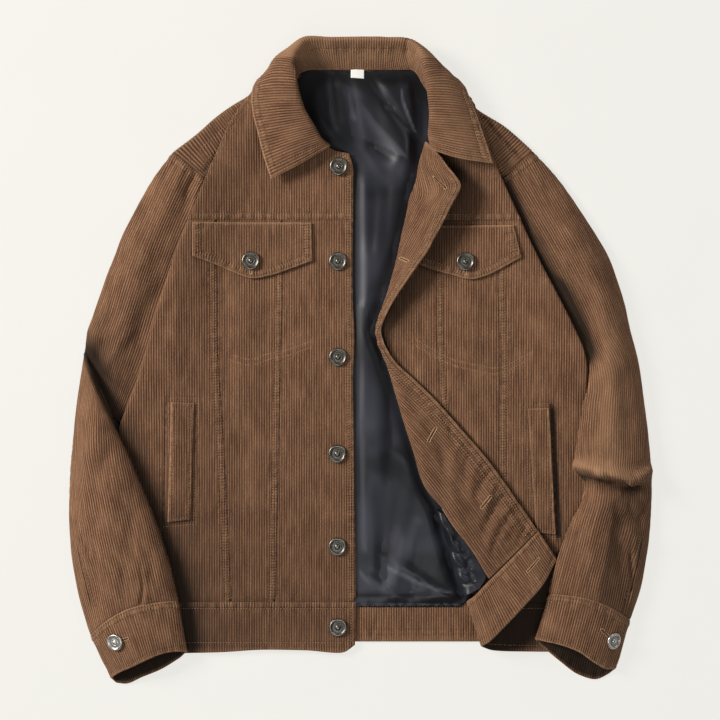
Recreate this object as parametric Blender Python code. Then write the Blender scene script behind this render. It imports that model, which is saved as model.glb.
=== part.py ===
"""Corduroy jacket, laid flat on its back.

The left front lies straight, the right front is turned back on itself, and the
sleeves lie along the sides, each over the body below its elbow.
+X is the wearer's left, +Y points to the collar, +Z is up from the table.
Tables are in millimetres; the meshes are in metres.
"""

import math

import bmesh
import bpy
import numpy as np
from mathutils import Matrix, Vector

MM = 0.001
CORD = 1.6          # wall of one layer of corduroy
DOUBLE = 2.4        # wall of two layers sewn together: flap, facing, cuff
BAND = 2.8          # wall of the folded hem band
LINING = 1.0        # wall of the satin lining
SEAM = 0.3          # gap between sewn pieces
LAID = 0.5          # gap under a piece that lies on a panel
FRONT_TOP = 6.2     # upper face of a front where it lies flat
FOLD_RISE = 9.4     # how far a front climbs over the sleeve's inner edge
FOLD_RADIUS = 2.4   # turn of the front's side fold
CENTRE = np.array([-0.045, 3.77, 0.0])      # middle of the tables' plan, put at the origin
BUTTON_D = 19.5
CUFF_BUTTON_D = 18.0

for old in list(bpy.data.objects):
    bpy.data.objects.remove(old, do_unlink=True)


# ---------------------------------------------------------------- curves and nets

def places(chord):
    """Places from 0 to 1 of points that are chord apart."""
    t = np.concatenate([[0.0], np.cumsum(chord + 1e-9)])
    return t / t[-1]


def curve(p, t, samples):
    """A smooth curve through the rows of p at places t, read at samples."""
    w = np.diff(t)
    slope = np.diff(p, axis=0) / w[:, None]
    inner = (slope[:-1] * w[1:, None] + slope[1:] * w[:-1, None]) / (w[:-1] + w[1:])[:, None]
    m = np.concatenate([slope[:1], inner, slope[-1:]])
    out = []
    for s in samples:
        i = max(min(int(np.searchsorted(t, s, side="right")) - 1, len(p) - 2), 0)
        before = min(w[i], 2 * w[i - 1]) if i else w[i]
        after = min(w[i], 2 * w[i + 1]) if i < len(w) - 1 else w[i]
        u = (s - t[i]) / w[i]
        out.append((1 + 2 * u) * (1 - u) ** 2 * p[i] + u * (1 - u) ** 2 * before * m[i]
                   + u * u * (3 - 2 * u) * p[i + 1] + u * u * (u - 1) * after * m[i + 1])
    return np.array(out)


def evenly(points, count):
    """count + 1 points at even distances along the smooth curve."""
    p = np.asarray(points, float)
    t = places(np.linalg.norm(np.diff(p, axis=0), axis=1))
    fine = curve(p, t, np.linspace(0, 1, 12 * len(p)))
    run = np.concatenate([[0.0], np.cumsum(np.linalg.norm(np.diff(fine, axis=0), axis=1))])
    at = np.linspace(0, run[-1], count + 1)
    return np.stack([np.interp(at, run, fine[:, k]) for k in range(fine.shape[1])], 1)


def net(sections, across, along=None):
    """A grid through sections: each is read evenly, then joined by curves along them."""
    rows = np.array([evenly(s, across) for s in sections])
    t = places(np.linalg.norm(np.diff(rows, axis=0), axis=2).mean(1))
    if along is None:
        return rows
    flat = curve(rows.reshape(len(rows), -1), t, np.linspace(0, 1, along + 1))
    return flat.reshape(along + 1, across + 1, 3)


def patch(top, bottom, left, right, down, across):
    """A plan grid inside four edges that share their corners, rows from top to bottom."""
    t = evenly(top, across)
    b = evenly(bottom, across)
    l = evenly(left, down)
    r = evenly(right, down)
    v = np.linspace(0, 1, down + 1)[:, None, None]
    u = np.linspace(0, 1, across + 1)[None, :, None]
    ruled = (1 - u) * l[:, None] + u * r[:, None] + (1 - v) * t[None] + v * b[None]
    corner = ((1 - v) * ((1 - u) * t[0] + u * t[-1]) + v * ((1 - u) * b[0] + u * b[-1]))
    return ruled - corner


def drawn_in(grid, left=0.0, right=0.0, top=0.0, bottom=0.0):
    """The grid with its edges drawn in by the given distances."""
    g = grid.copy()
    for amount, edge, inner in (
        (left, (slice(None), 0), (slice(None), 1)),
        (right, (slice(None), -1), (slice(None), -2)),
        (top, (0,), (1,)),
        (bottom, (-1,), (-2,)),
    ):
        if amount:
            d = g[inner] - g[edge]
            n = np.linalg.norm(d, axis=-1, keepdims=True)
            g[edge] += d / np.maximum(n, 1e-9) * np.minimum(amount, 0.5 * n)
    return g


def smooth(x):
    x = np.clip(x, 0.0, 1.0)
    return x * x * (3 - 2 * x)


def rolled(grid, side, radius, tail):
    """The grid with a side edge rolled under: outer face on a half circle, then a tail."""
    edge, inner = (0, 1) if side == "left" else (-1, -2)
    out = grid[:, edge] - grid[:, inner]
    out[:, 2] = 0
    out /= np.linalg.norm(out, axis=1, keepdims=True)
    extra = []
    for turn in (60, 120, 180):
        a = math.radians(turn)
        p = grid[:, edge] + out * radius * math.sin(a)
        p[:, 2] -= radius * (1 - math.cos(a))
        extra.append(p)
    p = grid[:, edge] - out * tail
    p[:, 2] -= 2 * radius
    extra.append(p)
    extra = np.stack(extra, 1)
    if side == "left":
        return np.concatenate([extra[:, ::-1], grid], 1)
    return np.concatenate([grid, extra], 1)


# ---------------------------------------------------------------- solids

COLOURS = {
    "cord": ((0.205, 0.115, 0.063), 0.9, 0.0),
    "lining": ((0.012, 0.012, 0.016), 0.35, 0.0),
    "label": ((0.85, 0.85, 0.84), 0.8, 0.0),
    "nickel": ((0.16, 0.15, 0.13), 0.35, 1.0),
    "bright_nickel": ((0.6, 0.59, 0.55), 0.3, 1.0),
}


def finish(name, mesh, look):
    rgb, rough, metal = COLOURS[look]
    mat = bpy.data.materials.new(name)
    mat.use_nodes = True
    shader = mat.node_tree.nodes["Principled BSDF"]
    shader.inputs["Base Color"].default_value = (*rgb, 1)
    shader.inputs["Roughness"].default_value = rough
    shader.inputs["Metallic"].default_value = metal
    mesh.materials.append(mat)
    ob = bpy.data.objects.new(name, mesh)
    bpy.context.scene.collection.objects.link(ob)
    return ob


def cloth(name, grid, wall, look="cord", inward=1.0, ring=False):
    """A wall of cloth under the face that grid draws, or about it with inward 0."""
    rows, cols = grid.shape[:2]
    mesh = bpy.data.meshes.new(name)
    bm = bmesh.new()
    v = [[bm.verts.new((grid[i, j] - CENTRE) * MM) for j in range(cols)] for i in range(rows)]
    for i in range(rows - 1):
        for j in range(cols if ring else cols - 1):
            k = (j + 1) % cols
            a, b, c, d = v[i][j], v[i + 1][j], v[i + 1][k], v[i][k]
            if (a.co - c.co).length <= (b.co - d.co).length:
                bm.faces.new((a, b, c))
                bm.faces.new((a, c, d))
            else:
                bm.faces.new((a, b, d))
                bm.faces.new((b, c, d))
    bm.to_mesh(mesh)
    bm.free()
    mesh.shade_smooth()
    ob = finish(name, mesh, look)
    thick = ob.modifiers.new("wall", "SOLIDIFY")
    thick.thickness = wall * MM
    thick.offset = -inward
    thick.use_even_offset = False
    thick.use_rim = True
    return ob


def laid(grid, height):
    """Plan points raised to a height function."""
    z = np.vectorize(height)(grid[..., 0], grid[..., 1])
    return np.concatenate([grid[..., :2], z[..., None]], 2)


# ---------------------------------------------------------------- the fronts' heights

# Side fold of each front: x, y from the shoulder down to the hem.
LEFT_FOLD = [(-104, 300), (-118, 291), (-130, 277), (-141, 260), (-153, 232), (-168, 198),
             (-184, 160), (-197, 128), (-213, 80), (-222, 50), (-238, -8), (-252, -52),
             (-253, -74), (-247, -100), (-240, -150), (-233, -220), (-226, -258), (-222, -313)]
RIGHT_FOLD = [(106, 300), (121, 283), (128, 266), (134, 250), (142, 225), (150, 205),
              (168, 165), (190, 117), (212, 75), (232, 35), (241, 14), (243.6, 3),
              (245, -25), (244, -50), (241, -100), (235, -180), (227, -258), (224, -313)]
# Large soft folds of the fronts: from x, y to x, y, half width, height.
FRONT_FOLDS = [
    (-148, 95, -143, -60, 9, -1.2),
    (-125, 60, -118, -40, 16, 1.3),
    (-66, 70, -60, -120, 18, 0.9),
    (-200, -60, -190, -230, 14, 1.0),
    (-45, 60, -20, 45, 8, 0.7),
    (120, 60, 112, -40, 18, 1.2),
    (184, 60, 196, -40, 16, 1.0),
    (140, -20, 185, -35, 10, 0.7),
]


def fold_x(fold, y):
    ys = [p[1] for p in fold][::-1]
    xs = [p[0] for p in fold][::-1]
    return float(np.interp(y, ys, xs))


def relief(x, y, folds):
    z = 0.0
    for x0, y0, x1, y1, half, height in folds:
        dx, dy = x1 - x0, y1 - y0
        run = dx * dx + dy * dy
        s = ((x - x0) * dx + (y - y0) * dy) / run
        near = min(max(s, 0.0), 1.0)
        away = math.hypot(x - x0 - near * dx, y - y0 - near * dy) / half
        z += height * math.exp(-away * away) * (1 if 0 <= s <= 1 else 0.999)
    return z


def front_height(x, y):
    """Upper face of both fronts: flat in the middle, climbing over each sleeve."""
    fold = LEFT_FOLD if x < 20 else RIGHT_FOLD
    inside = abs(fold_x(fold, y) - x)
    climb = FOLD_RISE * smooth(1 - inside / 62.0)
    below = -60 if x < 20 else 10
    climb *= 1 - 0.8 * smooth((below - y) / 50.0)
    shoulder = 4.6 * smooth((y - 175) / 90.0) * smooth(inside / 30.0)
    return FRONT_TOP + climb + shoulder + relief(x, y, FRONT_FOLDS)


def side(fold, tops, direction):
    """The fold line between two heights, drawn in by the turn's radius."""
    y0, y1 = tops
    ys = [y0] + [p[1] for p in fold if y1 < p[1] < y0] + [y1]
    return [(fold_x(fold, y) - direction * FOLD_RADIUS, y) for y in ys]


def line(p, q, n=2):
    return [tuple(np.array(p) + (np.array(q) - np.array(p)) * k / n) for k in range(n + 1)]


# ---------------------------------------------------------------- sleeves

# Stations down each arm: inner edge x, y; outer edge x, y; height that the under side
# lies at by the inner edge; top by the inner edge; place and height of the crown;
# top by the outer edge; bow of the station towards the shoulder.
LEFT_ARM = [
    (-166, 196, -204, 227.5, 0, 7.2, 0.5, 8.6, 8.0, 0),
    (-170, 172, -223, 202, 0, 7.0, 0.55, 13, 9, 0),
    (-178, 140, -247, 160, 0, 7.2, 0.6, 16, 10, 0),
    (-192, 95, -271, 104, 0, 7.2, 0.6, 18, 11, 0),
    (-207, 45, -290, 51, 0, 7.2, 0.58, 18.5, 12, 0),
    (-224, -5, -297.5, 22, 0, 7.0, 0.55, 16, 12, 0),
    (-238, -43, -298.5, 12, 0, 6.4, 0.5, 11, 10, 0),
    (-246, -72, -299.3, 4, 0, 5.4, 0.5, 8.5, 8, 0),
]
LEFT_TUCK = [
    (-255.5, -90, -299.8, -2, 0.4, 5.0, 0.5, 7.6, 7, 0),
    (-261.5, -76, -300.2, -4, 8.5, 12.5, 0.5, 13.5, 9, 0),
    (-265.5, -67, -300.6, -8, 8.6, 17, 0.5, 20, 12, 0),
]
LEFT_FOREARM = [
    (-267.5, -64, -301.4, -16, 8.8, 20, 0.5, 25, 14, 0),
    (-260, -79, -308, -54, 10.5, 23, 0.5, 29, 16, 0),
    (-250.5, -99, -313, -100, 13.0, 25, 0.5, 32, 17, 0),
    (-240, -125, -315, -131, 12.0, 25, 0.5, 33, 17, 0),
    (-228, -153, -315.5, -161, 11.0, 25, 0.5, 33.5, 17, 0),
    (-216.5, -185, -314, -193, 10.5, 24.5, 0.5, 33, 17, 0),
    (-206, -218, -310.5, -223, 10.5, 24, 0.5, 32, 16, 2),
    (-199.5, -246, -303.5, -260, 10.5, 23, 0.5, 29.5, 15, 8),
    (-196.5, -257, -292.5, -296, 10.5, 22, 0.5, 28, 14, 13),
]
RIGHT_ARM = [
    (150, 196, 188, 228, 0, 7.2, 0.5, 8.6, 8.0, 0),
    (152, 172, 214, 199, 0, 7.2, 0.6, 14, 10, 0),
    (162, 142, 240, 161, 0, 7.2, 0.66, 19, 12, 0),
    (180, 100, 265, 121, 0, 7.2, 0.74, 23, 13, 0),
    (205, 55, 283, 74, 0, 7.2, 0.7, 25, 14, 0),
    (229, 18, 292, 36, 0, 7.2, 0.55, 26, 15, 0),
    (246.5, 4, 298, 14, 0.4, 13, 0.4, 27, 15, 0),
]
RIGHT_FOREARM = [
    (248, -8, 300.5, 3, 7.0, 18, 0.4, 28, 16, 0),
    (246.5, -25, 303.5, -15, 13.4, 20, 0.4, 29, 16, 0),
    (241, -44, 306.5, -38, 12.6, 20, 0.4, 29.5, 16, 0),
    (236.5, -65, 309, -58, 11.5, 20, 0.4, 30, 16, 0),
    (231.5, -98, 313, -97, 11.0, 20, 0.4, 32, 17, 0),
    (230.5, -112, 314.6, -117, 11.0, 21, 0.45, 34, 18, -4),
    (233, -120, 315.2, -126, 11.0, 18, 0.45, 30.5, 16, -5),
    (236, -123, 315.3, -130, 11.0, 16, 0.45, 25, 13, -4),
    (240, -130, 315.4, -137, 11.0, 16, 0.35, 23, 12, -2),
    (239, -147, 315, -152, 11.0, 20, 0.25, 26, 12.5, 0),
    (228, -170, 314, -172, 11.0, 22, 0.25, 28, 12.5, 0),
    (218.5, -193, 312, -195, 10.8, 22, 0.28, 28.5, 13, 0),
    (211, -217, 308, -220, 10.6, 22, 0.3, 28.5, 13, 2),
    (204.5, -240, 302, -250, 10.6, 22, 0.34, 28, 13, 6),
    (203, -249.5, 292, -279, 10.6, 21, 0.4, 27, 13, 9),
]
EDGE_TURN = 6.0     # how far the top sleeve turns in under the arm
LIP = 17.0          # width of the flat inner edge that lies under the front


def station(ix, iy, ox, oy, floor, tin, place, crown, tout, bow):
    """A function from 0, inner edge, to 1, outer edge, to a plan point; and the width."""
    a = np.array([ix, iy], float)
    b = np.array([ox, oy], float)
    width = np.linalg.norm(b - a)
    up = np.array([a[1] - b[1], b[0] - a[0]]) / width
    if up[1] < 0:
        up = -up

    def at(s):
        return a + (b - a) * s + up * bow * 4 * s * (1 - s)

    return at, width


def over(row):
    """Section of the top sleeve, with both edges turned under."""
    floor, tin, place, crown, tout = row[4:9]
    at, width = station(*row)
    e = EDGE_TURN / width
    k0, k1 = 5.0 / width, 7.0 / width
    flat = (LIP if floor == 0 else 9.0) / width
    flat = min(flat, 0.8 * place)
    lift = 0.06 if floor == 0 else 0.35
    m1 = (1 - k1 + place) / 2
    return [(*at(e), floor), (*at(0.8 / width), floor + 0.16 * (tin - floor)),
            (*at(0), floor + 0.5 * (tin - floor)), (*at(k0), tin),
            (*at(flat), tin + lift * (crown - tin)), (*at(place), crown),
            (*at(m1), tout + 0.72 * (crown - tout)), (*at(1 - k1), tout),
            (*at(1), 0.45 * tout), (*at(1 - 0.8 / width), 0.12 * tout), (*at(1 - e), 0)]


def under(row, drop):
    """Section of the under sleeve: from the body's height down to the table."""
    floor = row[4]
    at, width = station(*row)
    e = (EDGE_TURN + 2.0) / width
    out = []
    for k in (0.0, 0.2, 0.4, 0.6, 0.8, 1.0):
        s = e + (1 - 2 * e) * k
        z = floor * (1 - smooth((s - drop[0]) / (drop[1] - drop[0])))
        out.append((*at(s), z))
    return out


def on_table(grid):
    grid[..., 2] = np.maximum(grid[..., 2], 0)
    return grid


left_rows = [over(r) for r in LEFT_ARM + LEFT_TUCK + LEFT_FOREARM]
cloth("top_sleeve_left", on_table(net(left_rows, 11))[:, ::-1], CORD)
under_tuck = (-262, -76, -296, -9, 0, 0, 0, 0, 0, 0)
left_under = [under(r, (0.3, 0.8)) for r in LEFT_ARM + [under_tuck] + LEFT_FOREARM[2:]]
cloth("under_sleeve_left", on_table(net(left_under, 5)), CORD)

right_rows = [over(r) for r in RIGHT_ARM + RIGHT_FOREARM]
cloth("top_sleeve_right", on_table(net(right_rows, 11)), CORD)
right_under = [under(r, (0.18, 0.62)) for r in RIGHT_ARM + RIGHT_FOREARM[:5] + RIGHT_FOREARM[8:]]
cloth("under_sleeve_right", on_table(net(right_under, 5))[:, ::-1], CORD)

# ---------------------------------------------------------------- back

# Armhole and side of the back panel, left and right.
BACK_LEFT = [(-174.5, 149.6), (-190, 97), (-205.5, 46), (-222.5, -4), (-236, -44),
             (-242, -68), (-247, -90), (-246, -115), (-239, -165), (-230, -254)]
BACK_RIGHT = [(158, 149.6), (177.5, 100), (202.5, 55), (227, 18), (240.5, -4),
              (245.5, -24), (243, -60), (240, -100), (237, -150), (228, -254)]
back = patch(line(BACK_LEFT[0], BACK_RIGHT[0]), line(BACK_LEFT[-1], BACK_RIGHT[-1]),
             BACK_LEFT, BACK_RIGHT, 9, 6)
cloth("back_panel", laid(back, lambda x, y: CORD), CORD)

# Yoke columns, armhole to armhole: the cloth comes from the back seam, lies on the
# table to the shoulder line, turns over it and ends under the front.
# x at the back seam; x, y on the way; x, y at the shoulder line; x, y at the end; height
# on top.
YOKE_LEFT = [
    (-159, -154, 197, -178, 247.5, -154, 214, 7.6),
    (-142, -142, 206, -159, 264.5, -139, 237, 7.6),
    (-118, -122, 214, -138, 279.5, -120, 257, 7.4),
    (-92, -100, 221, -114, 293, -100, 273, 7.0),
    (-74, -80, 227, -92, 304, -85, 290, 6.0),
]
YOKE_RIGHT = [
    (74, 80, 224, 92, 298, 85, 284, 6.0),
    (90, 95, 218, 112, 286, 98, 268, 7.0),
    (106, 110, 211, 132, 271, 117, 250, 7.4),
    (124, 123, 204, 155, 257, 130, 232, 7.6),
    (141, 136, 197, 172, 243, 141, 214, 7.6),
]
SHOULDER_TURN = 3.4


def joined(parts, counts):
    """One section out of parts that are each read evenly."""
    out = [evenly(part, n) for part, n in zip(parts, counts)]
    return np.concatenate([out[0]] + [o[1:] for o in out[1:]])


def yoke_column(bx, mx, my, sx, sy, ex, ey, top):
    d = np.array([sx - ex, sy - ey], float)
    d /= np.linalg.norm(d)
    line_at = np.array([sx, sy])
    low = line_at - d * SHOULDER_TURN
    return joined([[(bx, 150, 0), (mx, my, 0)], [(mx, my, 0), (*low, 0)],
                   [(*low, 0), (*line_at, top * 0.5), (*low, top)],
                   [(*low, top), (ex, ey, top + 0.2)]], (3, 2, 3, 3))


def armhole_column(row, corner, waist):
    """The yoke's end: along the first station of the sleeve, over the shoulder and back."""
    at, width = station(*row)
    a, b = at(0), at(1)
    up = np.array([a[1] - b[1], b[0] - a[0]]) / width
    up *= (0.5 + SEAM) * (1 if up[1] > 0 else -1)
    k = SHOULDER_TURN / width
    tin, crown, tout = row[5], row[7], row[8]
    low = at(1 - k) + up
    return joined([[(*corner, 0), (*waist, 0), (*(a + up), 0)], [(*(a + up), 0), (*low, 0)],
                   [(*low, 0), (*(b + up), tout * 0.5), (*low, tout)],
                   [(*low, tout), (*(at(0.5) + up), crown), (*(at(0.1) + up), tin)]],
                  (3, 2, 3, 3))


yoke_rows = [armhole_column(LEFT_ARM[0], (-173.6, 150), (-167.6, 173))]
yoke_rows += [yoke_column(*c) for c in YOKE_LEFT]
for x in (-56, 0, 56):
    yoke_rows.append(joined([[(x, 150, 0), (x, 313, 0)],
                             [(x, 313, 0), (x, 315, 0.15), (x, 316.4, 0.6)],
                             [(x, 316.4, 0.6), (x, 317.6, 2.4)]], (5, 3, 3)))
yoke_rows += [yoke_column(*c) for c in YOKE_RIGHT]
yoke_rows += [armhole_column(RIGHT_ARM[0], (157.4, 150), (149.6, 173))]
cloth("back_yoke", np.array(yoke_rows)[:, ::-1], CORD)

band = patch(line((-229.6, -254.4), (227.6, -254.4)), line((-226, -303), (224, -303)),
             line((-229.6, -254.4), (-226, -303)), line((227.6, -254.4), (224, -303)), 2, 9)
cloth("hem_band_back", laid(band, lambda x, y: BAND), BAND)

# Satin lining on the back, with a few soft folds where it shows.
LINING_FOLDS = [
    (34, 60, 30, -150, 7, 1.0),
    (62, -150, 10, -245, 9, 1.0),
    (95, -180, 118, -250, 7, 0.9),
    (45, 300, 52, 240, 6, 1.2),
]
neck_l = [(-136, 232), (-112, 254), (-88, 280), (-70, 300), (-62, 309)]
neck_r = [(62, 309), (70, 298), (86, 276), (106, 250), (124, 230)]
top_edge = neck_l + [(0, 310.5)] + neck_r
lining = patch(top_edge, line((-214, -252), (212, -252)),
               [(-136, 232), (-162, 150), (-200, 20), (-218, -100), (-214, -252)],
               [(124, 230), (150, 150), (196, 20), (216, -100), (212, -252)], 10, 10)
cloth("back_lining", laid(lining, lambda x, y: 3.0 + max(relief(x, y, LINING_FOLDS), 0)
                          * smooth((x + 2) / 12) * smooth((150 - x) / 30)), LINING, "lining")

label = patch(line((-10.5, 318), (4, 318)), line((-10.5, 308.6), (4, 307.6)),
              line((-10.5, 318), (-10.5, 308.6)), line((4, 318), (4, 307.6)), 1, 2)
cloth("neck_label", laid(label, lambda x, y: 4.7), LINING, "label")


# ---------------------------------------------------------------- left front

# Seams of the left front from the yoke down to the hem band.
YOKE_SEAM_Y = 154.0
BAND_SEAM_Y = -259.5
LEFT_EDGE = [(-8, 154), (-8.5, 110), (-8, 60), (-6.2, 25), (-8, -10), (-7.5, -60), (-6.5, -120),
             (-5.5, -200), (-5, -259.5)]
LEFT_SEAM_1 = [(-86, 154), (-84, 85), (-86, 0), (-88, -90), (-90, -180), (-92, -259.5)]
LEFT_SEAM_2 = [(-157, 154), (-155, 90), (-153.5, 0), (-150, -50), (-146, -120), (-142, -200),
               (-139, -259.5)]

side_l = side(LEFT_FOLD, (YOKE_SEAM_Y, BAND_SEAM_Y), -1)
g = patch(line(side_l[0], LEFT_SEAM_2[0]), line(side_l[-1], LEFT_SEAM_2[-1]),
          side_l, LEFT_SEAM_2, 10, 3)
g = drawn_in(g, right=SEAM / 2, top=SEAM / 2, bottom=SEAM / 2)
cloth("front_side_left", rolled(laid(g, front_height), "left", FOLD_RADIUS, 7), CORD)

g = patch(line(LEFT_SEAM_2[0], LEFT_SEAM_1[0]), line(LEFT_SEAM_2[-1], LEFT_SEAM_1[-1]),
          LEFT_SEAM_2, LEFT_SEAM_1, 10, 4)
g = drawn_in(g, SEAM / 2, SEAM / 2, SEAM / 2, SEAM / 2)
cloth("front_middle_left", laid(g, front_height), CORD)

g = patch(line(LEFT_SEAM_1[0], LEFT_EDGE[0]), line(LEFT_SEAM_1[-1], LEFT_EDGE[-1]),
          LEFT_SEAM_1, LEFT_EDGE, 10, 3)
g = drawn_in(g, left=SEAM / 2, top=SEAM / 2, bottom=SEAM / 2)
cloth("front_centre_left", laid(g, front_height), CORD)

yoke_side = side(LEFT_FOLD, (300, YOKE_SEAM_Y), -1)
neck_left = [yoke_side[0], (-84, 300), (-66, 284), (-56, 262), (-42, 240), (-30, 230.5), (-12, 226)]
front_left = [(-12, 226), (-8.6, 215), (-8, 190), (-8, 154)]
g = patch(neck_left, line(yoke_side[-1], (-8, 154)), yoke_side, front_left, 9, 7)
g = drawn_in(g, bottom=SEAM / 2)
cloth("front_yoke_left", rolled(laid(g, front_height), "left", FOLD_RADIUS, 7), CORD)

band_side = side(LEFT_FOLD, (BAND_SEAM_Y, -315), -1)
band_low = [band_side[-1], (-187, -314.8), (-150, -314), (-110, -311.5), (-60, -312), (-16, -313.4),
            (-6, -306)]
g = patch(line(band_side[0], (-5, BAND_SEAM_Y)), band_low, band_side,
          line((-5, BAND_SEAM_Y), (-6, -306)), 3, 10)
g = drawn_in(g, top=SEAM / 2)
cloth("hem_band_left", rolled(laid(g, front_height), "left", FOLD_RADIUS, 7), CORD)


# Flap outlines: upper corners, then the lower edge from left to right.
def flap(name, upper, lower, lift):
    """A pocket flap, close to its panel at the seam and lifted along its lower edge."""
    g = patch(line(*upper), lower, line(upper[0], lower[0]), line(upper[1], lower[-1]), 3, 7)
    rise = np.linspace(0, 1, g.shape[0]) ** 2
    up = laid(g, front_height)
    up[..., 2] += LAID + DOUBLE + 0.6 + lift * rise[:, None]
    cloth(name, up, DOUBLE)


flap("flap_left", ((-181, 151.5), (-53, 151.5)),
     [(-181, 115), (-157, 106), (-136, 97), (-118, 91), (-98, 94), (-74, 102), (-52, 110)], 0.9)


def welt(name, corners, lean):
    a, b, c, d = corners
    g = patch(line(a, b), line(d, c), line(a, d), line(b, c), 6, 2)
    up = laid(g, front_height)
    up[..., 2] += LAID + CORD + 0.7
    up[:, 0 if lean < 0 else -1, 2] += 0.5
    cloth(name, up, CORD)


welt("welt_left", ((-204.7, -43), (-180, -44), (-184, -170), (-208.5, -173)), -1)

# ---------------------------------------------------------------- right front

# Fold line that the right front turns back on, from the neck down to the hem.
TURN_LINE = [(63, 215), (60, 198), (53, 178), (46, 145), (40, 117), (33, 90), (25, 65), (18, 47),
             (16, 34), (19, 21), (26, 3), (33, -18), (41, -45), (50, -75), (60, -105),
             (72, -139), (82, -160), (93, -195), (105, -235), (112, -252)]
RIGHT_SEAM_1 = [(80, 153), (82, 85), (83, 20), (86, -30), (95, -100), (114, -180), (138, -259.5)]
RIGHT_SEAM_2 = [(147, 153), (149, 80), (151.5, 0), (151, -40), (150, -105), (154, -180),
                (160, -259.5)]


def inside_turn(y0, y1, inset):
    ys = [y0] + [p[1] for p in TURN_LINE if y1 < p[1] < y0] + [y1]
    return [(fold_x(TURN_LINE, y) + inset, y) for y in ys]


turn = inside_turn(153, -250, 8.5)
g = patch(line(turn[0], RIGHT_SEAM_1[0]), line(turn[-1], RIGHT_SEAM_1[-1]), turn, RIGHT_SEAM_1,
          13, 3)
g = drawn_in(g, right=SEAM / 2, top=SEAM / 2, bottom=SEAM / 2)
cloth("front_centre_right", laid(g, front_height), CORD)

g = patch(line(RIGHT_SEAM_1[0], RIGHT_SEAM_2[0]), line(RIGHT_SEAM_1[-1], RIGHT_SEAM_2[-1]),
          RIGHT_SEAM_1, RIGHT_SEAM_2, 10, 4)
g = drawn_in(g, SEAM / 2, SEAM / 2, SEAM / 2, SEAM / 2)
cloth("front_middle_right", laid(g, front_height), CORD)

side_r = side(RIGHT_FOLD, (153, BAND_SEAM_Y), 1)
g = patch(line(RIGHT_SEAM_2[0], side_r[0]), line(RIGHT_SEAM_2[-1], side_r[-1]),
          RIGHT_SEAM_2, side_r, 10, 3)
g = drawn_in(g, left=SEAM / 2, top=SEAM / 2, bottom=SEAM / 2)
cloth("front_side_right", rolled(laid(g, front_height), "right", FOLD_RADIUS, 7), CORD)

yoke_side = side(RIGHT_FOLD, (300, 153), 1)
turn = inside_turn(205, 153, 8.5)
yoke_left = [(85, 296), (81, 276), (80, 250), (80, 232)] + turn
g = patch(line((84, 296), yoke_side[0]), line(turn[-1], yoke_side[-1]), yoke_left, yoke_side, 9, 6)
g = drawn_in(g, bottom=SEAM / 2)
cloth("front_yoke_right", rolled(laid(g, front_height), "right", FOLD_RADIUS, 7), CORD)

flap("flap_right", ((55, 148.5), (165, 148)),
     [(55, 110), (74, 102), (98, 95), (120, 90), (140, 95.5), (158, 105), (173, 113.5)], 0.9)
welt("welt_right", ((181, -50), (204, -49), (211, -186), (190, -184)), 1)

# Turned-back facing above the narrow waist of the turn. Sections run from under the
# front, round the fold and up to the free edge.
# fold x, y; free edge x, y; height of the fold's top and of the free edge.
LAPEL = [
    (63, 216, 94, 208, 15, 33),
    (60, 198, 103, 197, 14, 34),
    (54, 181, 107, 189, 13, 34),
    (50, 163, 97, 168, 12.5, 33),
    (45, 141, 86, 146, 12, 31),
    (40, 117, 72, 121, 12, 29),
    (34, 94, 54, 95, 12, 26),
    (27, 70, 37, 71, 12, 22),
    (20, 51, 26.5, 51, 12, 18),
]


UNDER = 4.5         # height of the turn's lower face


def turned_section(fx, fy, ex, ey, top, edge):
    """Across the turn: a leg under the front, the fold, and the turned face."""
    d = np.array([ex - fx, ey - fy], float)
    width = np.linalg.norm(d)
    d /= width
    f = np.array([fx, fy])
    e = np.array([ex, ey])
    bend = min(4.0, 0.4 * width)
    up = UNDER + 0.5 * (top - UNDER)
    return [(*(f + d * 5.2), UNDER), (*(f + d * 2.4), UNDER), (*f, up), (*(f + d * bend), top),
            (*(f + d * (bend + (width - bend) * 0.5)), top + (edge - top) * 0.62), (*e, edge)]


lapel = [[(75, 233, 5), (72, 236.5, 6), (69.6, 239, 12), (73, 235, 20),
          (80, 228, 25), (87.5, 219.2, 28.5)]]
lapel += [turned_section(*row) for row in LAPEL]

# The waist and the lower turned-back part of the facing.
LOWER = [
    (16, 34, 21.5, 35, 11.5, 15),
    (19, 20, 25, 21, 11.5, 14),
    (26, 3, 35, 4, 12, 13),
    (37, -33, 60, -20, 13, 12.5),
    (46, -62, 84, -44, 15, 12.5),
    (56, -93, 108, -71, 17, 12.5),
    (71, -137, 135, -102, 19, 12.5),
]
lower = [turned_section(*row) for row in LOWER]
# Below this the facing ends at its seam to the lining: seam x, y; edge x, y; heights.
for sx, sy, ex, ey, z0, z1 in (
    (98, -174, 158, -133, 19.5, 12.5),
    (120, -203, 176, -159, 19.0, 12.6),
    (138.4, -233.2, 191.4, -181.3, 20.0, 13.6),
):
    p = np.array([sx, sy])
    q = np.array([ex, ey])
    lower.append([(*(p + (q - p) * k), z0 + (z1 - z0) * k + 3.0 * math.sin(math.pi * k) * 0.6)
                  for k in (0, 0.16, 0.33, 0.5, 0.66, 0.84, 1)])
facing = lapel + lower
facing_net = net(facing, 8, 22)
cloth("facing_right", facing_net, DOUBLE)

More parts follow.
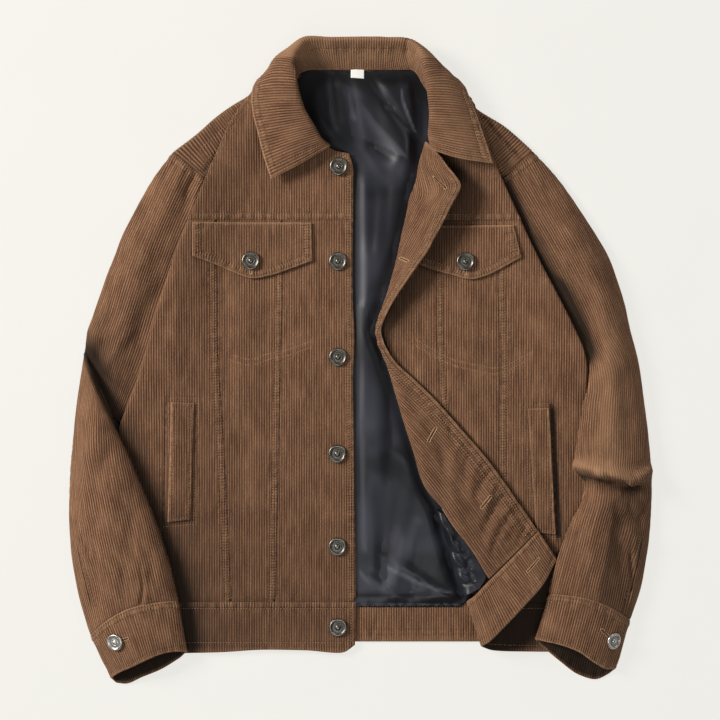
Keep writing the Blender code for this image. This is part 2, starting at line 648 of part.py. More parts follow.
# Lining that shows between the turn and the facing's inner seam. Fold x, y; where it
# meets the seam, y only, or the band's end, x, y, z.
CRUMPLE = [
    (82, -160, -163.5),
    (87, -176, -180),
    (93, -195, -197),
    (100, -218, -214),
    (105, -235, -228.3),
    (112, -252, (127.8, -243.2, 21.5)),
]
inner_seam = facing_net[::-1, 0]
rows = []
for fx, fy, meets in CRUMPLE:
    if isinstance(meets, tuple):
        end = np.array(meets)
    else:
        end = np.array([np.interp(meets, inner_seam[:, 1], inner_seam[:, k]) for k in range(3)])
        end[2] -= DOUBLE + 0.5
    f = np.array([fx, fy], float)
    d = end[:2] - f
    width = np.linalg.norm(d)
    d /= width
    top = end[2] - 0.3
    rows.append([(*(f + d * 5.4), 4.8), (*(f + d * 2), 4.8), (*f, top * 0.5),
                 (*(f + d * min(3, width * 0.4)), top - 0.8),
                 (*(f + d * width * 0.6), top + 0.3), (*(f + d * (width + 0.8)), end[2] - 0.2)])
cloth("front_lining_right", net(rows, 6, 8), LINING, "lining")

# Hem band of the right front, from the side to the turn and back up to its end.
# upper edge x, y, z; lower edge x, y, z.
BAND_RIGHT = [
    (225, -260, 6.2, 222, -313.5, 6.2),
    (185, -260, 5.2, 184, -313.4, 5.2),
    (150, -260, 5.2, 150, -312.6, 5.0),
    (126, -260, 5.4, 139, -311, 5.2),
    (117, -258, 9.5, 132.5, -307.5, 10.5),
    (116, -256, 17, 131.5, -305, 19),
    (121.5, -251.5, 22.5, 138, -299.5, 28),
    (134, -238.5, 22.5, 154, -283, 32),
    (149, -224, 20.5, 176, -260, 31),
    (171, -202.5, 17.0, 196, -238.5, 25),
    (192, -181.8, 12.6, 211.5, -212, 15),
]
rows = [[(x0 + (x1 - x0) * k, y0 + (y1 - y0) * k,
          z0 + (z1 - z0) * k + (1.6 * math.sin(math.pi * k) if i > 5 else 0))
         for k in (0, 0.33, 0.66, 1)] for i, (x0, y0, z0, x1, y1, z1) in enumerate(BAND_RIGHT)]
cloth("hem_band_right", net(rows, 3, 18), BAND, inward=0.0)

# Cuffs: closed bands from the sleeve's last station to the mouth, whose upper edge is
# drawn back and whose lower edge reaches on. x, y, z from the inner to the outer side.
CUFF_LEFT_OVER = [(-190, -314.5, 10.8), (-186.8, -313.2, 13), (-195, -311.5, 19), (-212, -313, 24.5),
                  (-230, -320, 26), (-247, -328.5, 22), (-261, -335.5, 14), (-269.8, -343, 5.5),
                  (-268, -346.2, 0.6)]
CUFF_LEFT_UNDER = [(-265.5, -347.8, 0), (-255, -349, 0), (-236, -341, 4), (-214, -331, 10.4),
                   (-194, -318.6, 10.6)]
CUFF_RIGHT_OVER = [(191, -301.5, 10.8), (188, -299, 13), (197, -300.5, 19), (215, -304, 24),
                   (235, -311.5, 25.5), (252, -323.5, 21), (266, -331.5, 14), (276.5, -332.5, 5.5),
                   (273.5, -335.5, 0.6)]
CUFF_RIGHT_UNDER = [(270, -338, 0), (257, -344, 0), (238, -339.5, 3.5), (214, -322, 10.4),
                    (195.5, -306, 10.6)]


def cuff(name, last, drop, mouth_over, mouth_under, flip):
    start_over = over(last)
    start_under = under(last, drop)[::-1]
    ring_0 = np.concatenate([evenly(start_over, 12), evenly(start_under, 5)])
    ring_1 = np.concatenate([evenly(mouth_over, 12), evenly(mouth_under, 5)])
    grid = np.array([ring_0 * (1 - k) + ring_1 * k for k in (0.011, 0.35, 0.68, 1)])
    swell = np.array([0.0, 1.3, 1.3, 0.0])[:, None]
    grid[..., 2] += np.where(grid[..., 2] > 14, swell, 0)
    cloth(name, on_table(grid)[:, ::-1] if flip else on_table(grid), DOUBLE, ring=True)
    return grid


cuff_left = cuff("cuff_left", LEFT_FOREARM[-1], (0.3, 0.8), CUFF_LEFT_OVER, CUFF_LEFT_UNDER, True)
cuff_right = cuff("cuff_right", RIGHT_FOREARM[-1], (0.18, 0.62), CUFF_RIGHT_OVER,
                  CUFF_RIGHT_UNDER, False)

# ---------------------------------------------------------------- collar

# Sections from the left point round the neck to the right point: neck seam, middle of
# the stand, roll line, middle of the fall, outer edge.
COLLAR = [
    [(-40, 232, 12.5), (-36, 233, 14.5), (-32, 233.5, 17.5), (-64, 213.5, 21), (-96.5, 197.2, 19)],
    [(-50, 243, 13), (-46, 244, 17), (-42, 243.5, 22), (-72, 233, 26), (-104.5, 221, 19.5)],
    [(-60, 259, 13), (-56, 260, 19), (-51, 259, 25.5), (-80, 252, 28), (-111, 247, 19.5)],
    [(-66, 276, 13), (-64, 277, 21), (-60.5, 275, 29), (-88, 274, 30), (-117, 272, 19.5)],
    [(-70, 291, 12), (-69, 292, 23), (-65, 292, 32), (-91, 293, 31), (-117.5, 292, 18.5)],
    [(-71, 304, 10), (-72, 306, 23), (-68.5, 309, 34), (-93, 313, 29), (-111, 306, 14)],
    [(-64, 313, 8), (-71, 319, 22), (-70.5, 324, 35), (-92, 328, 25), (-90, 321, 12)],
    [(-54, 316.5, 6.5), (-64, 326, 18), (-68.5, 338, 35), (-79.5, 339, 22), (-76, 334, 9)],
    [(-44, 316.5, 5.8), (-55, 333, 18), (-61, 349.5, 34), (-65.5, 350.5, 20), (-63, 345, 6)],
    [(-26, 316.5, 5.6), (-28, 334, 17), (-29, 350.5, 33), (-29, 352, 18), (-28, 346, 4)],
    [(0, 316.5, 5.6), (0, 335, 17), (0, 351, 33), (0, 352.8, 18), (0, 346, 3.5)],
    [(26, 316.5, 5.6), (27, 334, 17), (28, 350.5, 33), (29, 352.3, 18), (28, 346, 4)],
    [(44, 316.5, 5.8), (48, 333, 17), (52, 347.5, 34), (56, 349.8, 20), (54, 344, 6)],
    [(54, 316.5, 6.5), (57, 327, 18), (61, 338, 35), (73, 334.5, 22), (71, 329, 9)],
    [(60, 313, 8), (63, 318, 22), (65.5, 323, 35), (87, 320.5, 24), (86, 313, 12)],
    [(66, 302, 10), (67.5, 304, 23), (68.5, 307, 34), (92, 311, 28), (109.5, 301.5, 15)],
    [(74, 288, 13), (73, 289, 21), (71, 290, 32), (95, 290, 31), (117.5, 286.5, 19)],
    [(77, 272, 13.5), (76, 272, 19), (73, 272, 29), (99, 271, 31), (124.5, 269, 21)],
    [(79, 256, 13.5), (77, 256, 18), (72.5, 255, 27), (102, 252, 31), (131, 250, 23)],
    [(83, 241, 13.5), (80, 243, 17), (71.2, 243.5, 25), (105, 236, 31), (137, 232, 25)],
    [(91, 226, 14), (86, 228, 17.5), (80.5, 231, 25), (112, 222.5, 31), (143, 214.5, 26.5)],
]
cloth("collar", net(COLLAR, 8, 24)[:, ::-1], DOUBLE)

# ---------------------------------------------------------------- buttons

# Profile of a shank button over its diameter and height: radius share, height in mm.
BUTTON_PROFILE = [(0.0, 3.9), (0.16, 3.8), (0.27, 3.0), (0.4, 2.3), (0.66, 2.2), (0.8, 3.0),
                  (0.9, 3.2), (1.0, 2.4), (1.0, 1.2), (0.86, 0.3), (0.0, 0.0)]
BUTTONS = {
    "button_1": (-23.6, 212),
    "button_2": (-24.3, 109.6),
    "button_3": (-24.3, 5.9),
    "button_4": (-25.0, -98.8),
    "button_5": (-25.0, -199.3),
    "button_6": (-24.3, -286.7),
    "flap_button_left": (-118.5, 110),
    "flap_button_right": (113.5, 109),
}


def button(name, place, normal, look, size):
    mesh = bpy.data.meshes.new(name)
    bm = bmesh.new()
    profile = [bm.verts.new((r * size / 2 * MM, 0, h * MM)) for r, h in BUTTON_PROFILE]
    edges = [bm.edges.new(pair) for pair in zip(profile, profile[1:])]
    bmesh.ops.spin(bm, geom=profile + edges, cent=(0, 0, 0), axis=(0, 0, 1),
                   angle=2 * math.pi, steps=20, use_merge=True)
    bmesh.ops.remove_doubles(bm, verts=bm.verts, dist=1e-6)
    bmesh.ops.recalc_face_normals(bm, faces=bm.faces)
    turn = Vector(normal).to_track_quat("Z", "Y").to_matrix().to_4x4()
    move = Matrix.Translation(Vector(place - CENTRE) * MM)
    bmesh.ops.transform(bm, matrix=move @ turn, verts=bm.verts)
    bm.to_mesh(mesh)
    bm.free()
    mesh.shade_smooth()
    finish(name, mesh, look)


for name, (x, y) in BUTTONS.items():
    top = max(front_height(x + dx, y + dy) for dx in (-9, 0, 9) for dy in (-9, 0, 9))
    if name.startswith("flap"):
        top += LAID + DOUBLE + 1.3
    button(name, np.array([x, y, top + SEAM + 0.1]), (0, 0, 1), "nickel", BUTTON_D)


def on_cuff(name, grid, x, y):
    """A button on the cuff's upper face, on the plane of the cell nearest to x, y."""
    best = None
    for i in range(grid.shape[0] - 1):
        for j in range(12):
            a, b, c, d = grid[i, j], grid[i, j + 1], grid[i + 1, j + 1], grid[i + 1, j]
            mid = (a + b + c + d) / 4
            away = math.hypot(mid[0] - x, mid[1] - y)
            if best is None or away < best[0]:
                best = (away, mid, np.cross(c - a, d - b))
    mid, n = best[1], best[2] / np.linalg.norm(best[2])
    n = n if n[2] > 0 else -n
    z = mid[2] - ((x - mid[0]) * n[0] + (y - mid[1]) * n[1]) / n[2]
    place = np.array([x, y, z])
    near = grid.reshape(-1, 3)
    near = near[np.linalg.norm(near - place, axis=1) < CUFF_BUTTON_D * 0.9]
    lift = max(float(((near - place) @ n).max()), 0.0) + SEAM
    button(name, place + n * lift, n, "bright_nickel", CUFF_BUTTON_D)


on_cuff("cuff_button_left", cuff_left, -263, -300)
on_cuff("cuff_button_right", cuff_right, 271.5, -299.5)
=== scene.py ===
import math

import bpy
import numpy as np
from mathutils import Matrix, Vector, geometry, kdtree


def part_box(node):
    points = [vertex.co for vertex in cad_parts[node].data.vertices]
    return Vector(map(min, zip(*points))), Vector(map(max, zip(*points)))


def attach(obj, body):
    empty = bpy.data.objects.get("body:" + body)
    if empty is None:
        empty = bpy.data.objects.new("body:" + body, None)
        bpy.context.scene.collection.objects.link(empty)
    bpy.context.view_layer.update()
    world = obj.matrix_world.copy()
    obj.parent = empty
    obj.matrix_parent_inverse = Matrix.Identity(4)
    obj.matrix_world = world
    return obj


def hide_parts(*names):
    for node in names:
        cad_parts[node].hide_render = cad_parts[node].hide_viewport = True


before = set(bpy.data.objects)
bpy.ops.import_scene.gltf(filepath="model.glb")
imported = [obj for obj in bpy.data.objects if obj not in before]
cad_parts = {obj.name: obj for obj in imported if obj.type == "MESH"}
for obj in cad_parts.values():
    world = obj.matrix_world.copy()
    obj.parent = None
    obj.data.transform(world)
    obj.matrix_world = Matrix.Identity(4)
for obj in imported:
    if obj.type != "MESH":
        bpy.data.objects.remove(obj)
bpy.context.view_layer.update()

# ---------------------------------------------------------------- camera
# A camera on a stand, straight above the middle of the jacket. The whole scene is in metres;
# tables of places on the cloth are in millimetres from a mark on the table, ORIGIN.

MM = 0.001
ORIGIN = np.array([-0.045, 3.77, 0.0])      # this place of the tables lies at the world's origin
VIEW_WIDTH = 0.7776         # width that the view takes in, at the fronts' height
VIEW_PLANE = 0.012
CAMERA_UP = 2.0
SENSOR = 36.0

lens = bpy.data.cameras.new("camera")
lens.sensor_width = SENSOR
lens.lens = SENSOR * CAMERA_UP / VIEW_WIDTH
camera = bpy.data.objects.new("camera", lens)
camera.location = (-0.0005, -0.0011, CAMERA_UP + VIEW_PLANE)
bpy.context.scene.collection.objects.link(camera)
bpy.context.scene.camera = camera

# ---------------------------------------------------------------- floor and light
# The jacket lies on the opal glass of a light table. A softbox at the upper left lights it, and
# two weaker ones and the pale room fill the shadows.


def linear(code):
    """An sRGB hex colour as linear RGBA."""
    parts = [int(code[i:i + 2], 16) / 255 for i in (1, 3, 5)]
    return [c / 12.92 if c <= 0.04045 else ((c + 0.055) / 1.055) ** 2.4 for c in parts] + [1.0]


def add(tree, kind, inputs=None, **settings):
    """A node of a kind with its settings; inputs are values or other nodes' outputs."""
    node = tree.nodes.new("ShaderNode" + kind)
    for key, value in settings.items():
        setattr(node, key, value)
    for key, value in (inputs or {}).items():
        if isinstance(value, bpy.types.NodeSocket):
            tree.links.new(value, node.inputs[key])
        else:
            node.inputs[key].default_value = value
    return node


def noise(tree, scale=1.0, detail=2.0, at=None, **more):
    """Noise at places in a cut or, with no place, over the object."""
    inputs = {"Scale": scale, "Detail": detail, **more}
    if at is not None:
        inputs["Vector"] = at
    return add(tree, "TexNoise", inputs).outputs["Fac"]


def mixed(tree, share, low, high):
    """A colour between two, each an sRGB code or another node's colour."""
    a, b = (linear(c) if isinstance(c, str) else c for c in (low, high))
    return add(tree, "Mix", {"Factor": share, "A": a, "B": b}, data_type="RGBA").outputs["Result"]


def ranged(tree, value, low, high, to_low=0.0, to_high=1.0, **settings):
    """A value moved from one range into another."""
    return add(tree, "MapRange", {"Value": value, "From Min": low, "From Max": high, "To Min": to_low,
                                  "To Max": to_high}, **settings).outputs["Result"]


def worked_out(tree, operation, *values):
    """The result of a sum of numbers and other nodes' values."""
    return add(tree, "Math", dict(enumerate(values)), operation=operation).outputs["Value"]


def stretched(tree, at, across, along):
    """Places in a cut, in cells to the metre across it and along it."""
    return add(tree, "Mapping", {"Vector": at, "Scale": (across, along, 1.0)}).outputs["Vector"]


def told(tree, name):
    """A value that the mesh holds at each point."""
    return add(tree, "Attribute", attribute_name=name).outputs["Fac"]


def dressed(tree, shader, colour, bump=None, **constants):
    """A shader's colour, its bump as height, strength and distance, and its constants."""
    tree.links.new(colour, shader.inputs["Base Color"])
    if bump:
        height, strength, distance = bump
        raised = add(tree, "Bump", {"Height": height, "Strength": strength, "Distance": distance})
        tree.links.new(raised.outputs["Normal"], shader.inputs["Normal"])
    for key, value in constants.items():
        shader.inputs[key.replace("_", " ")].default_value = value


def material(name):
    """A new material, its tree and its shader."""
    made = bpy.data.materials.new(name)
    made.use_nodes = True
    return made, made.node_tree, made.node_tree.nodes["Principled BSDF"]


# Opal glass of a light table: an even, matt off-white lit from below, so shadows on it are faint.
opal_glass, tree, shader = material("opal_glass_light_table")
tone = mixed(tree, noise(tree, 60.0, 3.0), "#5E5D5B", "#636260")
dressed(tree, shader, tone, Roughness=0.9, Specular_IOR_Level=0.0, Emission_Color=linear("#F2F0EA"),
        Emission_Strength=0.86)

FLOOR_HALF = 3.0
FLOOR_TOP = -0.0004     # a hair below the cloth that lies on it
corners = [(x * FLOOR_HALF, y * FLOOR_HALF, FLOOR_TOP) for x, y in ((-1, -1), (1, -1), (1, 1), (-1, 1))]
table = bpy.data.meshes.new("floor")
table.from_pydata(corners, [], [(0, 1, 2, 3)])
table.materials.append(opal_glass)
floor = bpy.data.objects.new("floor", table)
bpy.context.scene.collection.objects.link(floor)


def softbox(name, place, size, power, colour):
    """A square softbox that faces the jacket."""
    lamp = bpy.data.lights.new(name, "AREA")
    lamp.size = size
    lamp.energy = power
    lamp.color = linear(colour)[:3]
    holder = bpy.data.objects.new(name, lamp)
    holder.location = place
    holder.rotation_euler = (-Vector(place)).to_track_quat("-Z", "Y").to_euler()
    bpy.context.scene.collection.objects.link(holder)


softbox("key_softbox", (-2.1, 0.9, 1.5), 0.8, 94.0, "#FFFBF6")
softbox("side_softbox", (1.6, 1.5, 1.8), 1.2, 15.0, "#FFFDFA")
softbox("fill_softbox", (-0.3, -1.2, 2.3), 1.2, 19.0, "#F7FAFF")

room = bpy.data.worlds.new("pale_room")
room.use_nodes = True
pale = room.node_tree.nodes["Background"].inputs
pale["Color"].default_value = linear("#F6F6F4")
pale["Strength"].default_value = 0.11
bpy.context.scene.world = room
bpy.context.scene.view_settings.view_transform = "Standard"

# ---------------------------------------------------------------- back panel
# The back is one length of cotton corduroy, its wales from hem to yoke, sewn to the yoke, the
# side fronts and the hem band. The jacket lies on it.

PITCH = 2.7             # from one wale to the next
PILE = 0.22             # half the height of the pile over its grooves
CORD = 1.6              # wall of one layer of corduroy
STITCH = 3.1            # from one stitch to the next
STITCH_SEEN = 2.3       # length of thread that shows

# Cotton corduroy, cut pile: ridges painted lighter and grooves painted darker as the light and shade
# between the wales, matt with a faint sheen, lighter where edges and seams have rubbed.
corduroy, tree, shader = material("cotton_corduroy_cut_pile")
cut_at = add(tree, "UVMap", uv_map="cut").outputs["UV"]
across = add(tree, "SeparateXYZ", {"Vector": cut_at}).outputs["X"]
wave = worked_out(tree, "COSINE", worked_out(tree, "MULTIPLY", across, 2 * math.pi / (PITCH * MM)))
crest = ranged(tree, wave, -1.0, 0.75, interpolation_type="SMOOTHSTEP")
# Streaks: each wale has its own tone over some 25 mm of its length.
streak = noise(tree, at=stretched(tree, cut_at, 0.9 / (PITCH * MM), 40.0))
# Pile: tufts of some 1.3 mm, wider than real fibres so that they show.
tuft = noise(tree, 1.0, 3.0, at=stretched(tree, cut_at, 900.0, 420.0), Roughness=0.6)
patch = noise(tree, 22.0, 3.0, at=cut_at)
faint = ranged(tree, patch, 0.3, 0.7, 0.46, 0.54)
lit = ranged(tree, worked_out(tree, "MULTIPLY_ADD", streak, tuft, faint), 0.57, 0.92)
ridge = mixed(tree, lit, "#5D3E2B", "#977154")
# Where the pile is brushed flat, the grooves show less.
clear = ranged(tree, noise(tree, 38.0, 3.0, at=cut_at), 0.35, 0.62, 0.62, 1.0)
groove = add(tree, "Mix", {"Factor": clear, "A": 1.0, "B": crest}, data_type="FLOAT").outputs["Result"]
# Painted shade: the grooves between the wales take the darkest colour.
pile = mixed(tree, groove, "#3E261A", ridge)
# Edges are bright where rubbed, and some folds carry a painted highlight; painted shade darkens
# hollows, seams and the cloth beside overhangs.
wear_and_painted_light = told(tree, "wear_and_painted_light")
wear_and_painted_highlight = mixed(tree, ranged(tree, wear_and_painted_light, 0.0, 1.0, 0.0, 0.75), pile, "#A98262")
# Painted shade: below zero the colour goes towards near black.
deep = mixed(tree, ranged(tree, wear_and_painted_light, 0.0, -1.0, 0.0, 0.96), wear_and_painted_highlight, "#1B120B")
# Gathers: small dimples across a stitched band, one to a stitch, with painted shade in each trough.
phase = worked_out(tree, "MULTIPLY_ADD", told(tree, "run"), 2 * math.pi / STITCH,
                   worked_out(tree, "MULTIPLY", patch, 16.0))
dimple = worked_out(tree, "MULTIPLY", worked_out(tree, "SINE", phase), told(tree, "gather"))
painted_dimple_shade = mixed(tree, ranged(tree, dimple, 0.0, -1.0, 0.0, 0.4), deep, "#2E1D13")
height = worked_out(tree, "MULTIPLY_ADD", dimple, 2.4, worked_out(tree, "ADD", crest, tuft))
dressed(tree, shader, painted_dimple_shade, (height, 0.5, 0.0002), Roughness=0.92, Specular_IOR_Level=0.2,
        Sheen_Weight=0.18, Sheen_Roughness=0.6, Sheen_Tint=linear("#D9B899"))


def places(chord):
    """Places from 0 to 1 of points that are chord apart."""
    t = np.concatenate([[0.0], np.cumsum(chord + 1e-9)])
    return t / t[-1]


def curve(points, at, samples):
    """The smooth curve through points at places `at`, read at samples."""
    w = np.diff(at)
    slope = np.diff(points, axis=0) / w[:, None]
    inner = (slope[:-1] * w[1:, None] + slope[1:] * w[:-1, None]) / (w[:-1] + w[1:])[:, None]
    m = np.concatenate([slope[:1], inner, slope[-1:]])
    last = len(w) - 1
    i = np.clip(np.searchsorted(at, samples, side="right") - 1, 0, last)
    before = np.where(i > 0, np.minimum(w[i], 2 * w[np.maximum(i - 1, 0)]), w[i])[:, None]
    after = np.where(i < last, np.minimum(w[i], 2 * w[np.minimum(i + 1, last)]), w[i])[:, None]
    u = ((samples - at[i]) / w[i])[:, None]
    return ((1 + 2 * u) * (1 - u) ** 2 * points[i] + u * (1 - u) ** 2 * before * m[i]
            + u * u * (3 - 2 * u) * points[i + 1] + u * u * (u - 1) * after * m[i + 1])


def evenly(points, count):
    """count + 1 points at even distances along the smooth curve through points."""
    p = np.asarray(points, float)
    t = places(np.linalg.norm(np.diff(p, axis=0), axis=1))
    fine = curve(p, t, np.linspace(0, 1, 16 * len(p)))
    run = np.concatenate([[0.0], np.cumsum(np.linalg.norm(np.diff(fine, axis=0), axis=1))])
    at = np.linspace(0, run[-1], count + 1)
    return np.stack([np.interp(at, run, fine[:, k]) for k in range(fine.shape[1])], 1)


def smooth(x):
    """A soft step from 0 to 1."""
    x = np.clip(x, 0.0, 1.0)
    return x * x * (3 - 2 * x)


def beside(line, away):
    """A line drawn beside another, to its left when away is positive."""
    line = np.asarray(line, float)
    d = np.gradient(line, axis=0)
    d /= np.linalg.norm(d, axis=1, keepdims=True)
    return line + np.stack([-d[:, 1], d[:, 0]], 1) * away


def nearest(points, line):
    """Distance from a line, its side (+1 left, -1 right) and the run along it."""
    best = np.full(len(points), 1e9)
    side = np.ones(len(points))
    run = np.zeros(len(points))
    start = 0.0
    for a, b in zip(line[:-1], line[1:]):
        d = b - a
        long = max(float(np.hypot(*d)), 1e-9)
        rel = points - a
        s = np.clip((rel @ d) / long ** 2, 0, 1)
        away = np.hypot(*(rel - s[:, None] * d).T)
        closer = away < best
        best[closer] = away[closer]
        side[closer] = np.sign(d[0] * rel[closer, 1] - d[1] * rel[closer, 0] + 1e-12)
        run[closer] = start + s[closer] * long
        start += long
    return best, side, run


def waviness(points, seed, longest, shortest, count=6):
    """Soft unevenness from -1 to 1, made of a few sine waves in drawn directions."""
    draw = np.random.default_rng(seed)
    total = np.zeros(len(points))
    for _ in range(count):
        angle = draw.uniform(0, 2 * math.pi)
        length = draw.uniform(shortest, longest)
        phase = draw.uniform(0, 2 * math.pi)
        total += np.sin((points[:, 0] * math.cos(angle) + points[:, 1] * math.sin(angle))
                        * 2 * math.pi / length + phase)
    return total / count


# What is worked into a cloth along a line: depth or height, half width, rubbing; below zero the
# rubbing is painted shade in the seam's groove, the stitch's dent or the slit.
WORK = {
    "seam": (-0.75, 1.0, -0.75),
    "stitch": (-0.36, 0.9, -0.06),
    "ridge": (0.42, 3.2, 0.3),
    "fell": (0.42, 2.2, 0.42),
    "worn": (0.12, 1.4, 0.5),
    "gathers": (0.15, 5.0, 0.1),
    "slit": (-1.3, 0.7, -1.0),
    "line": (-0.1, 0.9, 0.5),
}
PUCKER = {"stitch": 0.30, "ridge": 0.2, "fell": 0.22}


# Painted shade beside the edge where a piece overhangs the next, and broad painted shade over the
# left front and towards the hem: half width, how dark (below zero a painted highlight), and the
# edge, with the shaded cloth on its right.
FOREARM_EDGE = [(-187, -313), (-196, -257), (-206, -218), (-216.5, -185), (-228, -153), (-240, -125),
                (-250.5, -99), (-260, -79), (-268, -62), (-283, -30), (-299, 4)]
FRONT_PAINTED_SHADE = [
    (17, 0.85, FOREARM_EDGE), (110, 0.22, [(-200, -300), (-200, 230)]),
    (170, 0.26, [(300, -310), (-300, -310)]),
    (34, 1.7, [(131.5, -306), (138, -299.5), (154, -283), (176, -260), (196, -238.5), (211.5, -212)]),
    (25, 0.8, [(26.5, 51), (37, 71), (54, 95), (72, 121), (86, 146), (97, 168), (107, 189), (103, 199)]),
    (6, 1.3, [(211.5, -186), (204.5, -49)]),
]


def painted_light_at(points, painted_light):
    """Painted shade at plan points, and below zero painted highlight. Shade starts sharply at the edge, a
    highlight fades in.
    """
    dull = np.zeros(len(points))
    for half, strength, line in painted_light:
        near, side, _ = nearest(points, np.asarray(line, float))
        soft = 1.5 if strength > 0 else 0.6 * half
        dull += strength * np.exp(-(near / half) ** 2) * smooth(0.5 - side * near / (2 * soft))
    return dull


def worked(points, marks, seed):
    """Height, rubbing and painted shade that seams, stitches and raised bands give at points."""
    high = np.zeros(len(points))
    wear_and_painted_shade = np.zeros(len(points))
    for number, (kind, line) in enumerate(marks):
        depth, half, mark_wear_and_shade = WORK[kind]
        near, _, run = nearest(points, line)
        if kind in ("ridge", "fell"):
            shape = smooth((half + 0.7 - near) / 1.4)
        else:
            shape = np.exp(-(near / half) ** 2)
        high += depth * shape
        wear_and_painted_shade += mark_wear_and_shade * shape * (0.65 + 0.35 * np.sin(run * 0.57 + number))
        if kind in PUCKER:
            wobble = np.sin(run * 0.5 + 1.6 * np.sin(run * 0.13 + number) + seed)
            high += PUCKER[kind] * wobble * np.exp(-(near / 5.0) ** 2)
    return high, np.clip(wear_and_painted_shade, -1, 1)


def gathered(points, marks):
    """Run along the nearest raised band, and how much it gathers the cloth there."""
    along = np.zeros(len(points))
    best = np.full(len(points), 1e9)
    for kind, line in marks:
        if kind in ("fell", "ridge", "gathers"):
            near, _, run = nearest(points, line)
            closer = near < best
            best[closer] = near[closer]
            along[closer] = run[closer]
    return along, smooth((4.2 - best) / 1.6)


def inside(points, ring):
    """Which points lie within a closed ring."""
    found = np.zeros(len(points), bool)
    x, y = points[:, 0], points[:, 1]
    for (x0, y0), (x1, y1) in zip(ring, np.roll(ring, -1, axis=0)):
        if y0 == y1:
            continue
        cross = ((y0 > y) != (y1 > y)) & (x < (x1 - x0) * (y - y0) / (y1 - y0) + x0)
        found ^= cross
    return found


def twice_area(ring):
    """Twice a ring's area, above zero if the ring runs anticlockwise."""
    onward = np.roll(ring, -1, axis=0)
    return np.sum(ring[:, 0] * onward[:, 1] - onward[:, 0] * ring[:, 1])


def closed(parts, gap):
    """One ring out of edges that follow each other, with points some gap apart."""
    out = []
    for part in parts:
        part = np.asarray(part, float)
        run = np.concatenate([[0.0], np.cumsum(np.hypot(*np.diff(part, axis=0).T))])
        n = max(int(math.ceil(run[-1] / gap)), 1)
        at = np.linspace(0, run[-1], n + 1)[:-1]
        out.append(np.stack([np.interp(at, run, part[:, k]) for k in (0, 1)], 1))
    ring = np.concatenate(out)
    return ring if twice_area(ring) > 0 else ring[::-1]


def set_in(ring, away):
    """The ring moved inwards."""
    d = np.roll(ring, -1, axis=0) - np.roll(ring, 1, axis=0)
    d /= np.maximum(np.hypot(*d.T), 1e-9)[:, None]
    return ring + np.stack([-d[:, 1], d[:, 0]], 1) * away


def filled(ring, loose):
    """Triangles that fill a ring through loose points, as points, source indices and faces."""
    points = np.concatenate([ring, loose])
    edge = list(range(len(ring)))
    got = geometry.delaunay_2d_cdt([Vector(p) for p in points], [], [edge], 1, 1e-5, True)
    at = np.array([v[:] for v in got[0]])
    faces = np.array([f[:] for f in got[2] if len(f) == 3])
    source = np.array([min(ids) if ids else -1 for ids in got[3]])
    # A triangle between three points of the ring fills it if it passes them in the ring's order.
    corner = source[faces]
    on_ring = (corner < len(ring)).all(1)
    steps = (np.roll(corner, -1, axis=1) - corner) % len(ring)
    return at, source, faces[~on_ring | (steps.sum(1) == len(ring))]


def normals(face, points):
    """Unit normals of a face at points of its cut."""
    h = 0.4
    dp = face(points + (h, 0)) - face(points - (h, 0))
    dq = face(points + (0, h)) - face(points - (0, h))
    n = np.cross(dp, dq)
    return n / np.maximum(np.linalg.norm(n, axis=1, keepdims=True), 1e-9)


CREASE_BOW = 0.07       # how far a crease bends aside, in its lengths


def creased(face, table, gain=1.0):
    """A face with soft ridges and troughs: from x, y to x, y, half width, height before gain."""
    def folded(points):
        base = face(points)
        n = normals(face, points)
        high = np.zeros(len(points))
        for x0, y0, x1, y1, half, rise in table:
            d = np.array([x1 - x0, y1 - y0], float)
            long = np.hypot(*d)
            rel = base[:, :2] - (x0, y0)
            s = (rel @ d) / long ** 2
            off = (rel @ (-d[1], d[0])) / long
            fade = smooth((s + 0.1) / 0.3) * smooth((1.1 - s) / 0.3)
            way = 1 if int(x0 + y0) % 2 else -1
            bend = CREASE_BOW * long * np.sin(np.clip(s, 0, 1) * math.pi) * way
            high += rise * gain * fade * np.exp(-((off - bend) / half) ** 2)
        return base + n * (high * (n[:, 2] > 0))[:, None]
    return folded


def lattice_over(x0, x1, dx, y0, y1, dy):
    """Points of a lattice, dx and dy apart."""
    return np.stack(np.meshgrid(np.arange(x0, x1, dx), np.arange(y0, y1, dy)), -1).reshape(-1, 2)


def in_rows(ring, step, rows):
    """A lattice over a ring, its columns on the wales; rows is a gap, or (from, to, gap)s."""
    (x0, y0), (x1, y1) = ring.min(0), ring.max(0)
    columns = np.arange(math.ceil(x0 / step), math.floor(x1 / step) + 1) * step
    spans = [(y0, y1, rows)] if np.isscalar(rows) else rows
    levels = np.unique(np.concatenate([np.arange(a, b, gap) for a, b, gap in spans]))
    return np.stack(np.meshgrid(columns, levels), -1).reshape(-1, 2)


def triangle_mesh(name, points, faces):
    """A mesh of triangles between points in metres."""
    mesh = bpy.data.meshes.new(name)
    mesh.vertices.add(len(points))
    mesh.vertices.foreach_set("co", points.ravel())
    mesh.loops.add(faces.size)
    mesh.loops.foreach_set("vertex_index", faces.ravel().astype(np.int32))
    mesh.polygons.add(len(faces))
    mesh.polygons.foreach_set("loop_start", np.arange(0, faces.size, 3, dtype=np.int32))
    mesh.update(calc_edges=True)
    return mesh


def keep_at_points(mesh, name, values):
    """Keeps a value at each point of a mesh, for its material to read."""
    mesh.attributes.new(name, "FLOAT", "POINT").data.foreach_set("value", values.astype(np.float32))


def placed(name, mesh, node=None):
    """A mesh as a piece that rides on the root and stands for a node."""
    piece = bpy.data.objects.new(name, mesh)
    bpy.context.scene.collection.objects.link(piece)
    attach(piece, "root")
    if node:
        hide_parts(node)
    return piece


THREADS = []            # every stitch: its two ends and the cloth's normal there
EDGE_ROUND = 1.3        # largest radius of a sheet's turned edge
WORK_COLUMNS = np.array([-1.8, -0.8, 0, 0.8, 1.8])  # points beside a line of work, in half widths
WELL_IN = 9.0           # far enough from an edge for the cloth's full height


